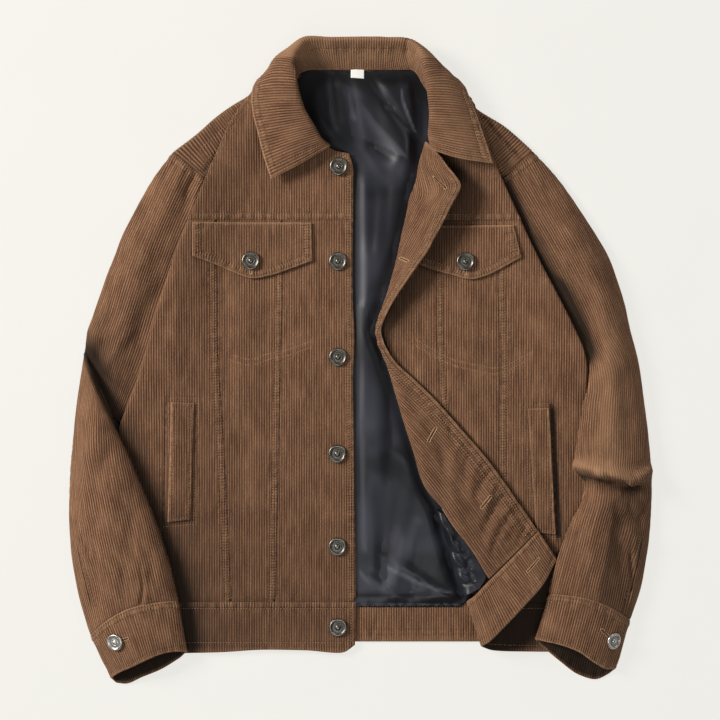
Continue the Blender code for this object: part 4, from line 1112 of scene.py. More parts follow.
side_part = past_fold(-1, YOKE_Y + LAP, BAND_Y - LAP)
ring = closed([[(-157 + LAP, YOKE_Y + LAP), (fold_x(-1, YOKE_Y), YOKE_Y + LAP)], side_part,
               [past_fold(-1, BAND_Y, BAND_Y + 1)[0] + (0, -LAP), (-139 + LAP, BAND_Y - LAP)],
               moved(seam_2[::-1], LAP)[1:-1]], 2.4)
shell("front_side_left", rolled_face(-1), ring, CORD, left_marks, seed=21)


def flat_panel(name, top, left, low, right, marks, seed):
    """A panel that lies flat: x at its corners, and its two side seams downwards."""
    (x0, x1, y), (x2, x3) = top, low
    ring = closed([[(x0, y + LAP), (x1, y + LAP)], left, [(x2, BAND_Y - LAP), (x3, BAND_Y - LAP)],
                   right[::-1][1:-1]], 2.4)
    shell(name, flat_face(front_height), ring, CORD, marks, seed=seed)


flat_panel("front_middle_left", (-86 + LAP, -157 - LAP, YOKE_Y), moved(seam_2, -LAP)[1:-1],
           (-139 - LAP, -92 + LAP), moved(seam_1, LAP), left_marks, 22)
flat_panel("front_centre_left", (-8, -86 - LAP, YOKE_Y), moved(seam_1, -LAP)[1:-1], (-92 - LAP, -5), edge_l,
           left_marks, 23)

# The yoke: its neck edge is sewn into the collar.
neck_left = [(-84, 300), (-66, 284), (-56, 262), (-42, 240), (-30, 230.5), (-12, 226)]
front_left = evenly([(-12, 226), (-8.6, 215), (-8, 190), (-8, 154)], 24)
yoke_marks = yoke_seam(-200, -9, 156.2, 158.6, 161.2)
yoke_marks += [("worn", moved(front_left, -0.6)), ("stitch", moved(front_left, -2.6)),
               ("stitch", moved(front_left, -7.6)), ("ridge", moved(front_left, -4.6)),
               ("stitch", [(-168, 196), (-147, 244), (-118, 286)])]
top_of_fold = past_fold(-1, 300, YOKE_Y - LAP)
ring = closed([evenly([(fold_x(-1, 300), 300)] + neck_left, 60)[::-1], top_of_fold,
               [top_of_fold[-1], (-8, YOKE_Y - LAP)], front_left[::-1]], 2.4)
shell("front_yoke_left", rolled_face(-1), ring, CORD, yoke_marks, seed=24)

band_low = evenly([(-222, -315), (-187, -314.8), (-150, -314), (-110, -311.5), (-60, -312), (-16, -313.4),
                   (-6, -306)], 70)
band_marks = [("stitch", [(-240, -266.5), (-6, -266.5)]), ("fell", [(-240, -263.0), (-6, -263.0)]),
              ("stitch", [(-240, -303.5), (-9, -303.5)]), ("stitch", [(-9.5, -262), (-9.8, -303)])]
side_part = past_fold(-1, BAND_Y + LAP, -315)
ring = closed([[(-5, BAND_Y + LAP), side_part[0]], side_part, [side_part[-1], band_low[0]], band_low,
               [(-6, -306), (-5, BAND_Y + LAP)]], 2.4)
shell("hem_band_left", rolled_face(-1), ring, CORD, band_marks, seed=25,
      edge=0.3)

# ---------------------------------------------------------------- pocket flaps and welts
# A flap is two layers turned out and stitched twice along its edge; its upper edge is caught
# in the yoke seam. A welt is a folded strip beside the slit of the hand pocket.

DOUBLE = 2.4            # wall of two layers
LAID = 0.5              # gap under a piece that lies on a panel
FLAP_LIFT = 0.9


def middle_of(node):
    """Plan place of a button on the tables' grid."""
    low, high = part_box(node)
    return (np.array(low[:2]) + np.array(high[:2])) / 2 / MM + ORIGIN[:2]


HOLES = []              # every buttonhole: its cloth, its slit and whether the inner side shows


def flap(name, upper, lower, seed):
    """A pocket flap with its buttonhole, from its upper edge and its lower one."""
    (x0, top_y), (x1, _) = upper
    button_x, button_y = middle_of(name.replace("flap", "flap_button"))
    low = evenly(lower, 60)

    def height(x, y):
        bottom = np.interp(x, low[:, 0], low[:, 1])
        down = np.clip((top_y - y) / (top_y - bottom), 0, 1)
        curl = 0.5 * np.exp(-((x - button_x) / 30.0) ** 2) * down ** 2
        return front_height(x, y) + LAID + DOUBLE + 0.6 + FLAP_LIFT * down ** 2 - curl

    left = [(x0, top_y), tuple(low[0])]
    right = [tuple(low[-1]), (x1, upper[1][1])]
    ring = closed([left, low, right, [(x1, upper[1][1]), (x0, top_y)]], 1.4)
    path = np.concatenate([evenly(left, 12), low[1:-1], evenly(right, 12)])
    marks = [("stitch", beside(path, 2.4)), ("stitch", beside(path, 8.0)), ("fell", beside(path, 5.2)),
             ("stitch", [(x0, top_y - 2.4), (x1, top_y - 2.4)])]
    slit = np.array([(button_x, button_y - 13.5), (button_x, button_y + 5.0)])
    marks.append(("slit", slit))
    solid = shell(name, flat_face(height), ring, DOUBLE, marks, rows=5.0, both=True, seed=seed, edge=0.75,
                  wavy=0.35)
    HOLES.append((solid, slit, False))


flap("flap_left", ((-181, 151.5), (-53, 151.5)),
     [(-181, 115), (-157, 106), (-136, 97), (-118, 91), (-98, 94), (-74, 102), (-52, 110)], 31)


def welt(name, corners, side, seed):
    """A welt from its corners; the hand goes in at the side given."""
    a, b, c, d = (np.array(p, float) for p in corners)

    def height(x, y):
        down = np.clip((a[1] - y) / (a[1] - d[1]), 0, 1)
        left_x, right_x = a[0] + (d[0] - a[0]) * down, b[0] + (c[0] - b[0]) * down
        share = (x - left_x) / (right_x - left_x)
        open_share = np.clip(share if side > 0 else 1 - share, 0, 1)
        return front_height(x, y) + LAID + CORD + 0.7 + 0.7 * open_share ** 3

    ring = closed([[a, d], [d, c], [c, b], [b, a]], 1.4)
    opening = [a, d] if side < 0 else [b, c]
    sewn = [b, c] if side < 0 else [a, d]
    turn = 1 if side < 0 else -1
    marks = [("stitch", moved(opening, turn * 3.0)), ("stitch", moved(sewn, -turn * 2.2)),
             ("stitch", [a + (2, -3), b + (-2, -3)]), ("stitch", [d + (2, 3), c + (-2, 3)]),
             ("worn", moved(opening, turn * 1.0))]
    shell(name, flat_face(height), ring, CORD, marks, rows=5.0, seed=seed, edge=0.45, wavy=0.5)


welt("welt_left", ((-204.7, -43), (-180, -44), (-184, -170), (-208.5, -173)), -1, 32)

# ---------------------------------------------------------------- the open front
# The same panels on the other side. Its edge is turned back, so the panels end under the fold
# of the turned facing.

RIGHT_SEAM_1 = [(80, 153), (82, 85), (83, 20), (86, -30), (95, -100), (114, -180), (138, -259.5)]
RIGHT_SEAM_2 = [
    (147, 153), (149, 80), (151.5, 0), (151, -40), (150, -105), (154, -180), (160, -259.5),
]
INSET = 8.5             # how far the panels stay clear of the fold


def turn_edge(y0, y1):
    """The panels' edge beside the turn, between two heights of the plan."""
    y = np.linspace(y0, y1, max(int(abs(y1 - y0) / 5), 2))
    return np.column_stack([np.interp(y, turn_ys, turn_xs) + INSET, y])


seam_1 = evenly(RIGHT_SEAM_1, 60)
seam_2 = evenly(RIGHT_SEAM_2, 60)
RIGHT_YOKE_Y = 153.0
right_marks = felled_pair(seam_2, seam_1, 1)
right_marks += pocket_lines([(60, 18), (100, -3), (120, -8), (150, -12), (182, 3)])
right_marks += [("stitch", [(177, -47), (185.5, -190)]), ("stitch", [(178, -45), (210, -44)]),
                ("stitch", [(184, -190), (217, -191)]), ("seam", [(209.5, -50), (216.5, -188)])]

turned_at = turn_edge(RIGHT_YOKE_Y + LAP, -250)
ring = closed([turned_at, [turn_edge(-250, -252)[0], (138 + LAP, BAND_Y - LAP)],
               moved(seam_1[::-1], LAP)[1:-1], [(80 + LAP, RIGHT_YOKE_Y + LAP), turned_at[0]]], 2.4)
shell("front_centre_right", flat_face(front_height), ring, CORD, right_marks, seed=41)

flat_panel("front_middle_right", (147 + LAP, 80 - LAP, RIGHT_YOKE_Y), moved(seam_1, -LAP)[1:-1],
           (138 - LAP, 160 + LAP), moved(seam_2, LAP), right_marks, 42)

side_part = past_fold(1, RIGHT_YOKE_Y + LAP, BAND_Y - LAP)
ring = closed([[(147 - LAP, RIGHT_YOKE_Y + LAP), side_part[0]], side_part,
               [side_part[-1], (160 - LAP, BAND_Y - LAP)], moved(seam_2[::-1], -LAP)[1:-1]], 2.4)
shell("front_side_right", rolled_face(1), ring, CORD, right_marks, seed=43)

yoke_marks = yoke_seam(60, 240, 155.2, 157.6, 160.2)
yoke_marks.append(("stitch", [(146, 196), (130, 240), (118, 280)]))
side_part = past_fold(1, 300, RIGHT_YOKE_Y - LAP)
neck_right = evenly([(68.5, 205), (80, 232), (80, 250), (81, 276), (85, 296)], 20)
ring = closed([[(85, 296), (106, 300), side_part[0]], side_part,
               [side_part[-1], turn_edge(RIGHT_YOKE_Y - LAP, 150)[0]],
               turn_edge(RIGHT_YOKE_Y - LAP, 205), neck_right], 2.4)
shell("front_yoke_right", rolled_face(1), ring, CORD, yoke_marks, seed=44)

flap("flap_right", ((55, 148.5), (165, 148)),
     [(55, 110), (74, 102), (98, 95), (120, 90), (140, 95.5), (158, 105), (173, 113.5)], 45)
welt("welt_right", ((181, -50), (204, -49), (211, -186), (190, -184)), 1, 46)

# ---------------------------------------------------------------- turned-back facing
# Front edge and facing are two layers sewn together, turned back on themselves: a wide lapel
# above the narrow waist of the turn, and a strip along the edge below it. Stitches run along
# the edge and pull small puckers; below, the facing ends at its seam to the lining.

# Fold x, y; free edge x, y; height of the fold's top and of the free edge.
LAPEL = [
    (63, 216, 94, 208, 15, 33), (60, 198, 103, 197, 14, 34), (54, 181, 107, 189, 13, 34),
    (50, 163, 97, 168, 12.5, 33), (45, 141, 86, 146, 12, 31), (40, 117, 72, 121, 12, 29),
    (34, 94, 54, 95, 12, 26), (27, 70, 37, 71, 12, 22), (20, 51, 26.5, 51, 12, 18),
]
STRIP = [
    (16, 34, 21.5, 35, 11.5, 15), (19, 20, 25, 21, 11.5, 14), (26, 3, 35, 4, 12, 13),
    (37, -33, 60, -20, 13, 12.5), (46, -62, 84, -44, 15, 12.5), (56, -93, 108, -71, 17, 12.5),
    (71, -137, 135, -102, 19, 12.5),
]
# Below: seam to the lining x, y; free edge x, y; their heights.
STRIP_END = [
    (98, -174, 158, -133, 19.5, 12.5), (120, -203, 176, -159, 19.0, 12.6),
    (138.4, -233.2, 191.4, -181.3, 20.0, 13.6),
]
UNDER = 4.5             # height of the turn's lower face


def turned_section(fx, fy, ex, ey, top, edge):
    """Across the turn: a leg under the front, the fold, and the turned face."""
    d = np.array([ex - fx, ey - fy], float)
    width = np.linalg.norm(d)
    d /= width
    f = np.array([fx, fy])
    bend = min(4.0, 0.4 * width)
    up = UNDER + 0.5 * (top - UNDER)
    return [(*(f + d * 5.2), UNDER), (*(f + d * 2.4), UNDER), (*f, up), (*(f + d * bend), top),
            (*(f + d * (bend + (width - bend) * 0.5)), top + (edge - top) * 0.62), (ex, ey, edge)]


sections = [[(75, 233, 5), (72, 236.5, 6), (69.6, 239, 12), (73, 235, 20), (80, 228, 25),
             (87.5, 219.2, 28.5)]]
sections += [turned_section(*row) for row in LAPEL + STRIP]
for sx, sy, ex, ey, z0, z1 in STRIP_END:
    p = np.array([sx, sy])
    q = np.array([ex, ey])
    sections.append([(*(p + (q - p) * k), z0 + (z1 - z0) * k + 1.8 * math.sin(math.pi * k))
                     for k in (0, 0.16, 0.33, 0.5, 0.66, 0.84, 1)])


def limb_net(sections, across, along):
    """A dense net through sections that are each read evenly."""
    return through([evenly(s, across) for s in sections], along)


def limb_face(dense, anchor):
    """A face over a net whose rows differ in width; p is measured from an anchor column."""
    rows, cols = dense.shape[:2]
    arc = np.linalg.norm(np.diff(dense, axis=1), axis=2)
    arc = np.concatenate([np.zeros((rows, 1)), np.cumsum(arc + 1e-7, axis=1)], 1)
    arc = arc - arc[:, anchor:anchor + 1]
    run = np.linalg.norm(np.diff(dense[:, anchor], axis=0), axis=1)
    q_at = np.concatenate([[0.0], np.cumsum(run + 1e-6)])

    def face(points):
        q = points[:, 1]
        v = past_ends(np.interp(q, q_at, np.arange(rows)), q, q_at)
        j = np.clip(np.floor(v).astype(int), 0, rows - 2)
        b = v - j
        own = arc[j] * (1 - b)[:, None] + arc[j + 1] * b[:, None]
        i = np.clip((own <= points[:, :1]).sum(1) - 1, 0, cols - 2)
        k = np.arange(len(points))
        a = (points[:, 0] - own[k, i]) / np.maximum(own[k, i + 1] - own[k, i], 1e-6)
        return on_net(dense, i, j, a[:, None], b[:, None])

    return face, arc, q_at


def limb_ring(arc, q_at, start=0.0):
    """The ring of a net's cut, from a little above its first row."""
    first = np.column_stack([arc[:, 0], q_at])
    second = np.column_stack([arc[:, -1], q_at])
    first[0, 1] = second[0, 1] = start
    return between_sides(first, second, 2.2)


facing_net = limb_net(sections, 70, 220)[:, ::-1]
facing_face, arc, q_at = limb_face(facing_net, 0)
PUCKER_GAIN = 2.6       # turns the heights of the puckers into millimetres
# Puckers and soft waves of the strip.
PUCKERS = [
    (66, -30, 84, -48, 3.0, -0.5), (82, -52, 96, -72, 3.0, 0.6), (96, -66, 104, -92, 3.0, -0.6),
    (110, -84, 98, -106, 3.2, 0.6), (120, -96, 112, -124, 3.0, -0.7), (130, -104, 118, -138, 3.2, 0.7),
    (140, -118, 126, -150, 3.0, -0.8), (148, -126, 134, -166, 3.2, 0.8),
    (158, -140, 130, -186, 3.0, -1.0), (166, -150, 134, -206, 3.6, 0.9),
    (179.6, -176, 146.8, -214, 2.0, -1.3), (186, -178, 146, -223, 2.6, 0.6),
    (160, -166, 140, -209, 2.0, -1.0), (166, -188, 152, -197, 1.8, -1.0),
    (150, -150, 136, -182, 2.0, -0.8), (134, -124, 122, -150, 2.0, -0.7),
    (170, -168, 150, -196, 2.4, 0.7), (100, -98, 110, -170, 7.0, 1.0), (86, -86, 112, -148, 6.0, -0.7),
    (60, -60, 90, -110, 7.0, 0.7), (76, 188, 62, 140, 5.0, -0.9), (96, 178, 74, 128, 5.0, 0.6),
    (68, 214, 84, 202, 4.0, 0.6), (58, 150, 52, 110, 5.0, 0.6), (84, 160, 66, 118, 4.0, -0.5),
]
free = q_at[-1]
ring = limb_ring(arc, q_at)
facing_marks = [("stitch", plumb(3.2, 2, free - 2)), ("stitch", plumb(9.5, 30, free - 2)),
                ("fell", plumb(6.3, 30, free - 2)), ("worn", plumb(0.8, 0, free)),
                ("stitch", plumb(14.5, 250, free - 4)), ("gathers", plumb(12.5, 190, free - 4))]
seam_of_facing = np.column_stack([arc[:, -1], q_at])[190:]
facing_marks.append(("stitch", beside(seam_of_facing, -3.0 if seam_of_facing[0, 0] > 0 else 3.0)))

# Buttonholes on the facing: a slit between two beads of close stitches. Ends of each slit.
SLITS = [((79.5, 198.5), (91.5, 187)), ((43, 113), (51, 109)),
         ((73, -85), (81.5, -71.5)), ((130.5, -157), (140.5, -145))]
lattice = lattice_over(0, 130, 0.5, 0, free, 1.0)
lattice = lattice[inside(lattice, ring)]
shown = facing_face(lattice)
slit_lines = [np.array([cut_of(shown, lattice, p) for p in ends]) for ends in SLITS]
facing_marks += [("slit", line) for line in slit_lines]
facing_solid = shell("facing_right", creased(facing_face, PUCKERS, PUCKER_GAIN), ring, DOUBLE,
                     facing_marks, rows=4.0, both=True, seed=51, edge=0.5, wavy=0.5)

# ---------------------------------------------------------------- lining of the open front
# Where the facing turns back, a strip of the satin lining that is sewn to its inner edge comes
# up with it and crumples.

CRUMPLE = [
    (82, -160, -163.5), (87, -176, -180), (93, -195, -197), (100, -218, -214), (105, -235, -228.3),
    (112, -252, (127.8, -243.2, 21.5)),
]
inner_seam = facing_net[::-1, -1]
sections = []
for fx, fy, meets in CRUMPLE:
    if isinstance(meets, tuple):
        end = np.array(meets)
    else:
        end = np.array([np.interp(meets, inner_seam[:, 1], inner_seam[:, k]) for k in range(3)])
        end[2] -= DOUBLE + 0.5
    f = np.array([fx, fy], float)
    d = end[:2] - f
    width = np.linalg.norm(d)
    d /= width
    top = end[2] - 0.3
    sections.append([(*(f + d * 5.4), 4.8), (*(f + d * 2), 4.8), (*f, top * 0.5),
                     (*(f + d * min(3, width * 0.4)), top - 0.8),
                     (*(f + d * width * 0.6), top + 0.3), (*(f + d * (width + 0.8)), end[2] - 0.2)])
crumple_net = limb_net(sections, 40, 70)[:, ::-1]
crumple_face, p_at, q_at = strip_face(crumple_net)
CRUSHED = [
    (86, -164, 102, -190, 2.8, 1.6), (92, -172, 98, -204, 2.2, -1.4), (94, -184, 118, -212, 3.0, 1.8),
    (98, -204, 116, -206, 2.2, -1.6), (98, -208, 122, -228, 3.0, 1.9), (104, -220, 120, -222, 2.2, -1.6),
    (106, -228, 126, -240, 2.8, 1.7), (108, -238, 124, -236, 2.2, -1.3), (104, -192, 112, -218, 2.6, 1.2),
    (116, -212, 122, -238, 2.4, -1.2), (100, -226, 112, -250, 2.4, 1.1),
]
shell("front_lining_right", creased(crumple_face, CRUSHED), frame_of(p_at[-1], q_at[-1], 0.2), LINING, [],
      step=0.9, rows=1.0, pile=0.0, edge=0.0, wavy=0.6, cover=satin, inner_step=5.0,
      seed=52)

# ---------------------------------------------------------------- hem band of the open front
# The doubled band runs from the side to the turn, folds over and comes back up with the
# facing, so its end shows its inner side and the fifth buttonhole.

# Upper edge x, y, z; lower edge x, y, z.
BAND_RIGHT = [
    (225, -260, 6.2, 222, -313.5, 6.2), (185, -260, 5.2, 184, -313.4, 5.2),
    (150, -260, 5.2, 150, -312.6, 5.0), (126, -260, 5.4, 139, -311, 5.2),
    (117, -258, 9.5, 132.5, -307.5, 10.5), (116, -256, 17, 131.5, -305, 19),
    (121.5, -251.5, 22.5, 138, -299.5, 28), (134, -238.5, 22.5, 154, -283, 32),
    (149, -224, 20.5, 176, -260, 31), (171, -202.5, 17.0, 196, -238.5, 25),
    (192, -181.8, 12.6, 211.5, -212, 15),
]
sections = [[(x0 + (x1 - x0) * k, y0 + (y1 - y0) * k,
              z0 + (z1 - z0) * k + (1.6 * math.sin(math.pi * k) if i > 5 else 0))
             for k in np.linspace(0, 1, 31)] for i, (x0, y0, z0, x1, y1, z1) in enumerate(BAND_RIGHT)]
band_net = through(sections, 160).transpose(1, 0, 2)
band_face, p_at, q_at = strip_face(band_net)
wide, deep = p_at[-1], q_at[-1]
lattice = lattice_over(120, wide, 0.5, 0, deep, 0.5)
shown = band_face(lattice)
band_slit = np.array([cut_of(shown, lattice, p) for p in ((179.5, -224.5), (191.5, -211.5))])
band_solid = shell("hem_band_right", band_face, frame_of(wide, deep), BAND,
                   [("stitch", level(6.0, 2, wide - 2)), ("stitch", level(deep - 6.5, 2, wide - 2)),
                    ("stitch", plumb(wide - 5.0, 3, deep - 3)), ("fell", level(3.2, 2, wide - 2)),
                    ("slit", band_slit)],
                   rows=4.0, both=True, mid=True, seed=53, edge=0.4, wavy=0.45)

# ---------------------------------------------------------------- sleeves
# Two-piece sleeves: a top sleeve that turns under at both seams, and a flat under sleeve, each
# lined. At the elbow the cloth folds and the forearm lies over the body's side.

# Stations down each arm: inner edge x, y; outer edge x, y; height that the under side lies at
# by the inner edge; top by the inner edge; place and height of the crown; top by the outer
# edge; bow of the station towards the shoulder.
LEFT_ARM = [
    (-166, 196, -204, 227.5, 0, 7.2, 0.5, 8.6, 8.0, 0), (-170, 172, -223, 202, 0, 7.0, 0.55, 13, 9, 0),
    (-178, 140, -247, 160, 0, 7.2, 0.6, 16, 10, 0), (-192, 95, -271, 104, 0, 7.2, 0.6, 18, 11, 0),
    (-207, 45, -290, 51, 0, 7.2, 0.58, 18.5, 12, 0), (-224, -5, -296, 33, 0, 7.0, 0.55, 16, 12, 0),
    (-238, -43, -297, 27, 0, 6.4, 0.5, 11, 10, 0), (-246, -72, -298, 21, 0, 5.4, 0.5, 8.5, 8, 0),
]
LEFT_TUCK = [
    (-255.5, -90, -298.6, 16, 0.4, 5.0, 0.5, 7.6, 7, 0),
    (-261.5, -76, -299, 14, 8.5, 12.5, 0.5, 13.5, 9, 0),
    (-265.5, -67, -299.4, 10, 8.6, 17, 0.5, 20, 12, 0),
]
LEFT_FOREARM = [
    (-267.5, -64, -300.4, 3, 8.8, 20, 0.5, 25, 14, 0), (-260, -79, -307, -45, 10.5, 23, 0.5, 29, 16, 0),
    (-250.5, -99, -313, -100, 13.0, 25, 0.5, 32, 17, 0),
    (-240, -125, -315, -131, 12.0, 25, 0.5, 33, 17, 0),
    (-228, -153, -315.5, -161, 11.0, 25, 0.5, 33.5, 17, 0),
    (-216.5, -185, -314, -193, 10.5, 24.5, 0.5, 33, 17, 0),
    (-206, -218, -310.5, -223, 10.5, 24, 0.5, 32, 16, 2),
    (-199.5, -246, -303.5, -260, 10.5, 23, 0.5, 29.5, 15, 8),
    (-196.5, -257, -292.5, -296, 10.5, 22, 0.5, 28, 14, 13),
]
RIGHT_ARM = [
    (150, 196, 188, 228, 0, 7.2, 0.5, 8.6, 8.0, 0), (152, 172, 214, 199, 0, 7.2, 0.6, 14, 10, 0),
    (162, 142, 240, 161, 0, 7.2, 0.66, 19, 12, 0), (180, 100, 265, 121, 0, 7.2, 0.74, 23, 13, 0),
    (205, 55, 283, 74, 0, 7.2, 0.7, 25, 14, 0), (229, 18, 292, 36, 0, 7.2, 0.55, 26, 15, 0),
    (246.5, 4, 298, 14, 0.4, 13, 0.4, 27, 15, 0),
]
RIGHT_FOREARM = [
    (248, -8, 300.5, 3, 7.0, 18, 0.4, 28, 16, 0), (246.5, -25, 303.5, -15, 13.4, 20, 0.4, 29, 16, 0),
    (241, -44, 306.5, -38, 12.6, 20, 0.4, 29.5, 16, 0), (236.5, -65, 309, -58, 11.5, 20, 0.4, 30, 16, 0),
    (231.5, -98, 313, -97, 11.0, 20, 0.4, 32, 17, 0),
    (230.5, -112, 314.6, -117, 11.0, 21, 0.45, 34, 18, -4),
    (233, -120, 315.2, -126, 11.0, 18, 0.45, 30.5, 16, -5),
    (236, -123, 315.3, -130, 11.0, 16, 0.45, 25, 13, -4),
    (240, -130, 315.4, -137, 11.0, 16, 0.35, 23, 12, -2),
    (239, -147, 315, -152, 11.0, 20, 0.25, 26, 12.5, 0),
    (228, -170, 314, -172, 11.0, 22, 0.25, 28, 12.5, 0),
    (218.5, -193, 312, -195, 10.8, 22, 0.28, 28.5, 13, 0),
    (211, -217, 308, -220, 10.6, 22, 0.3, 28.5, 13, 2),
    (204.5, -240, 302, -250, 10.6, 22, 0.34, 28, 13, 6),
    (203, -249.5, 292, -279, 10.6, 21, 0.4, 27, 13, 9),
]
# Shares of the arm's width between which the under sleeve drops from the body to the table.
LEFT_DROP = (0.3, 0.8)
RIGHT_DROP = (0.18, 0.62)
EDGE_TURN = 6.0         # how far the top sleeve turns in under the arm
LIP = 17.0              # width of the flat inner edge that lies under the front


def station(ix, iy, ox, oy, bow):
    """A function from 0, inner edge, to 1, outer edge, to a plan point; and the width."""
    a = np.array([ix, iy], float)
    b = np.array([ox, oy], float)
    width = np.linalg.norm(b - a)
    up = np.array([a[1] - b[1], b[0] - a[0]]) / width
    if up[1] < 0:
        up = -up
    return (lambda s: a + (b - a) * s + up * bow * 4 * s * (1 - s)), width


def over(row):
    """Section of the top sleeve, with both edges turned under."""
    floor_z, tin, place, crown, tout = row[4:9]
    at, width = station(*row[:4], row[9])
    e = EDGE_TURN / width
    k0, k1 = 5.0 / width, 7.0 / width
    flat = min((LIP if floor_z == 0 else 9.0) / width, 0.8 * place)
    lift = 0.06 if floor_z == 0 else 0.35
    m1 = (1 - k1 + place) / 2
    return [(*at(e), floor_z), (*at(0.8 / width), floor_z + 0.16 * (tin - floor_z)),
            (*at(0), floor_z + 0.5 * (tin - floor_z)), (*at(k0), tin),
            (*at(flat), tin + lift * (crown - tin)), (*at(place), crown),
            (*at(m1), tout + 0.72 * (crown - tout)), (*at(1 - k1), tout),
            (*at(1), 0.45 * tout), (*at(1 - 0.8 / width), 0.12 * tout), (*at(1 - e), 0)]


def under(row, drop):
    """Section of the under sleeve: from the body's height down to the table."""
    at, width = station(*row[:4], row[9])
    e = (EDGE_TURN + 2.0) / width
    shares = [e + (1 - 2 * e) * k for k in (0.0, 0.2, 0.4, 0.6, 0.8, 1.0)]
    return [(*at(s), row[4] * (1 - smooth((s - drop[0]) / (drop[1] - drop[0])))) for s in shares]


LINING_HANG = 3.4       # how far a sleeve's lining hangs inside it


def sleeve(name, sections, folds, flip, seed, rows, marks=(), painted_light=()):
    """One half of a sleeve, lined on its inner side."""
    dense = limb_net(sections, 110, 230)
    dense[..., 2] = np.maximum(dense[..., 2], 0)
    if flip:
        dense = dense[:, ::-1]
    face, arc, q_at = limb_face(dense, 55)
    made = [(kind, line(arc, q_at)) for kind, line in marks]
    shell(name, creased(face, folds, FOLD_GAIN) if folds else face, limb_ring(arc, q_at, -1.3), CORD, made,
          rows=rows, seed=seed, wavy=0.55, inner=satin, on_table=True,
          inner_step=7.0, loose_by=LINING_HANG if folds else 0.0, painted_light=painted_light)


# Painted shade where an arm dives under the front, folds on itself or turns from the light, and
# painted highlights on the elbow's fold and down the forearm.
LEFT_PAINTED_SHADE = [(18, 1.2, FOREARM_EDGE), (48, 0.3, [(-250, -40), (-300, 8)])]
RIGHT_PAINTED_SHADE_AND_HIGHLIGHTS = [
   
    (11, 1.1, [(243, 8), (232, 35), (212, 75), (190, 117), (168, 165), (150, 205), (142, 225), (134, 250)]),
    (15, 1.1, [(240, 18), (232, 35), (212, 75)]),
    (9, 1.0, [(227, -117), (245, -120), (258, -124), (275, -130), (294, -132)]),
    (9, -0.95, [(310, -118), (292, -127), (275, -123), (245, -114), (229, -111)]),
    (42, 0.5, [(252, -275), (264, -200), (272, -150), (284, -136)]),
    (36, -0.4, [(250, -104), (256, -40), (250, 20)]),
]
# Creases that the arm's bend leaves in the cloth.
LEFT_CREASES = [
    (-212, 190, -236, 130, 12, -1.2), (-190, 150, -214, 90, 8, 1.0), (-232, 150, -262, 70, 10, 1.2),
    (-216, 80, -246, 20, 8, -1.2), (-206, 60, -232, 0, 7, 1.0), (-262, 60, -282, 0, 9, -1.3),
    (-240, 40, -276, -10, 6, 1.0), (-236, -12, -280, 22, 7, -1.2), (-246, -42, -290, -4, 6, 1.1),
    (-200, 190, -222, 176, 6, 0.8), (-250, 120, -266, 100, 8, -0.8), (-226, 118, -250, 96, 7, 0.8),
    (-272, -56, -296, -110, 9, 1.3), (-262, -84, -286, -150, 8, -1.3), (-250, -110, -268, -190, 10, 1.2),
    (-300, -70, -306, -160, 9, -1.2), (-290, -150, -296, -230, 9, 1.0), (-236, -150, -246, -215, 8, -1.2),
    (-270, -200, -262, -262, 9, 1.2), (-235, -222, -236, -262, 2.6, -2.6),
    (-230, -218, -229, -260, 4, 1.6), (-214, -200, -212, -250, 7, 0.9),
    (-300, -186, -290, -204, 2.6, -1.8), (-302, -200, -286, -212, 2.6, 1.5),
    (-196, 222, -214, 196, 3, -1.2), (-188, 214, -200, 186, 3, 1.0), (-178, 204, -190, 176, 3, -1.3),
    (-172, 196, -182, 166, 3, 1.0), (-284, -226, -286, -280, 8, -1.1), (-252, -216, -248, -258, 6, -0.9),
    (-244, -128, -300, -140, 8, 0.8), (-258, -178, -304, -176, 8, -0.8),
]
RIGHT_CREASES = [
    (198, 196, 222, 140, 12, -1.2), (186, 150, 210, 100, 8, 1.0), (224, 150, 252, 84, 10, 1.2),
    (200, 90, 226, 40, 7, 1.0), (244, 70, 268, 16, 9, -1.2), (232, 46, 252, 2, 7, 1.2),
    (240, -10, 290, -6, 9, 0.8), (254, -14, 244, -60, 7, 1.3), (262, -20, 258, -76, 6, -1.0),
    (284, 0, 296, -70, 9, -1.2), (246, -62, 240, -104, 6, 1.2), (272, -40, 280, -100, 9, 1.1),
    (236, -98, 268, -106, 5, -1.4), (228, -111, 262, -119, 4.5, 3.4), (252, -117, 294, -130, 4.5, 3.8),
    (286, -130, 314, -114, 4.5, 3.2), (256, -104, 312, -112, 6, -1.4), (240, -112, 300, -120, 7, 0.8),
    (238, -126, 262, -128, 4, -2.2), (256, -131, 306, -142, 7, -3.6), (236, -134, 246, -150, 5, -1.6),
    (246, -146, 300, -158, 7, 1.3), (270, -150, 292, -178, 7, -1.6), (256, -160, 248, -220, 9, 1.3),
    (280, -166, 286, -230, 8, -1.5), (298, -150, 298, -215, 7, 1.2), (238, -176, 228, -240, 9, -0.9),
    (266, -190, 262, -256, 8, 0.9), (291, -200, 284, -266, 2.2, -2.2), (288, -152, 306, -176, 4, -1.6),
    (284, -168, 304, -196, 4, 1.2), (270, -176, 296, -214, 5, -1.2), (176, 214, 192, 190, 3, -1.2),
    (168, 208, 178, 184, 3, 1.0), (298, -212, 292, -262, 5, 1.0), (306, -150, 300, -180, 4, -1.0),
    (220, -200, 214, -244, 7, 0.9), (300, -120, 306, -150, 4, 1.0),
]


def down_the(share, q0=0.0, q1=1.0):
    """A line down a sleeve at a share of its width, between shares of its length."""
    def line(arc, q_at):
        rows = slice(int(q0 * (len(q_at) - 1)), int(q1 * (len(q_at) - 1)) + 1)
        return np.column_stack([arc[rows, 0] + (arc[rows, -1] - arc[rows, 0]) * share, q_at[rows]])[::6]
    return line


def across_the(q):
    """A line across a sleeve at a place down it; below zero it counts from the end."""
    def line(arc, q_at):
        row = int(np.argmin(np.abs(q_at - (q if q > 0 else q_at[-1] + q))))
        return np.column_stack([np.linspace(arc[row, 0], arc[row, -1], 12), np.full(12, q_at[row])])
    return line


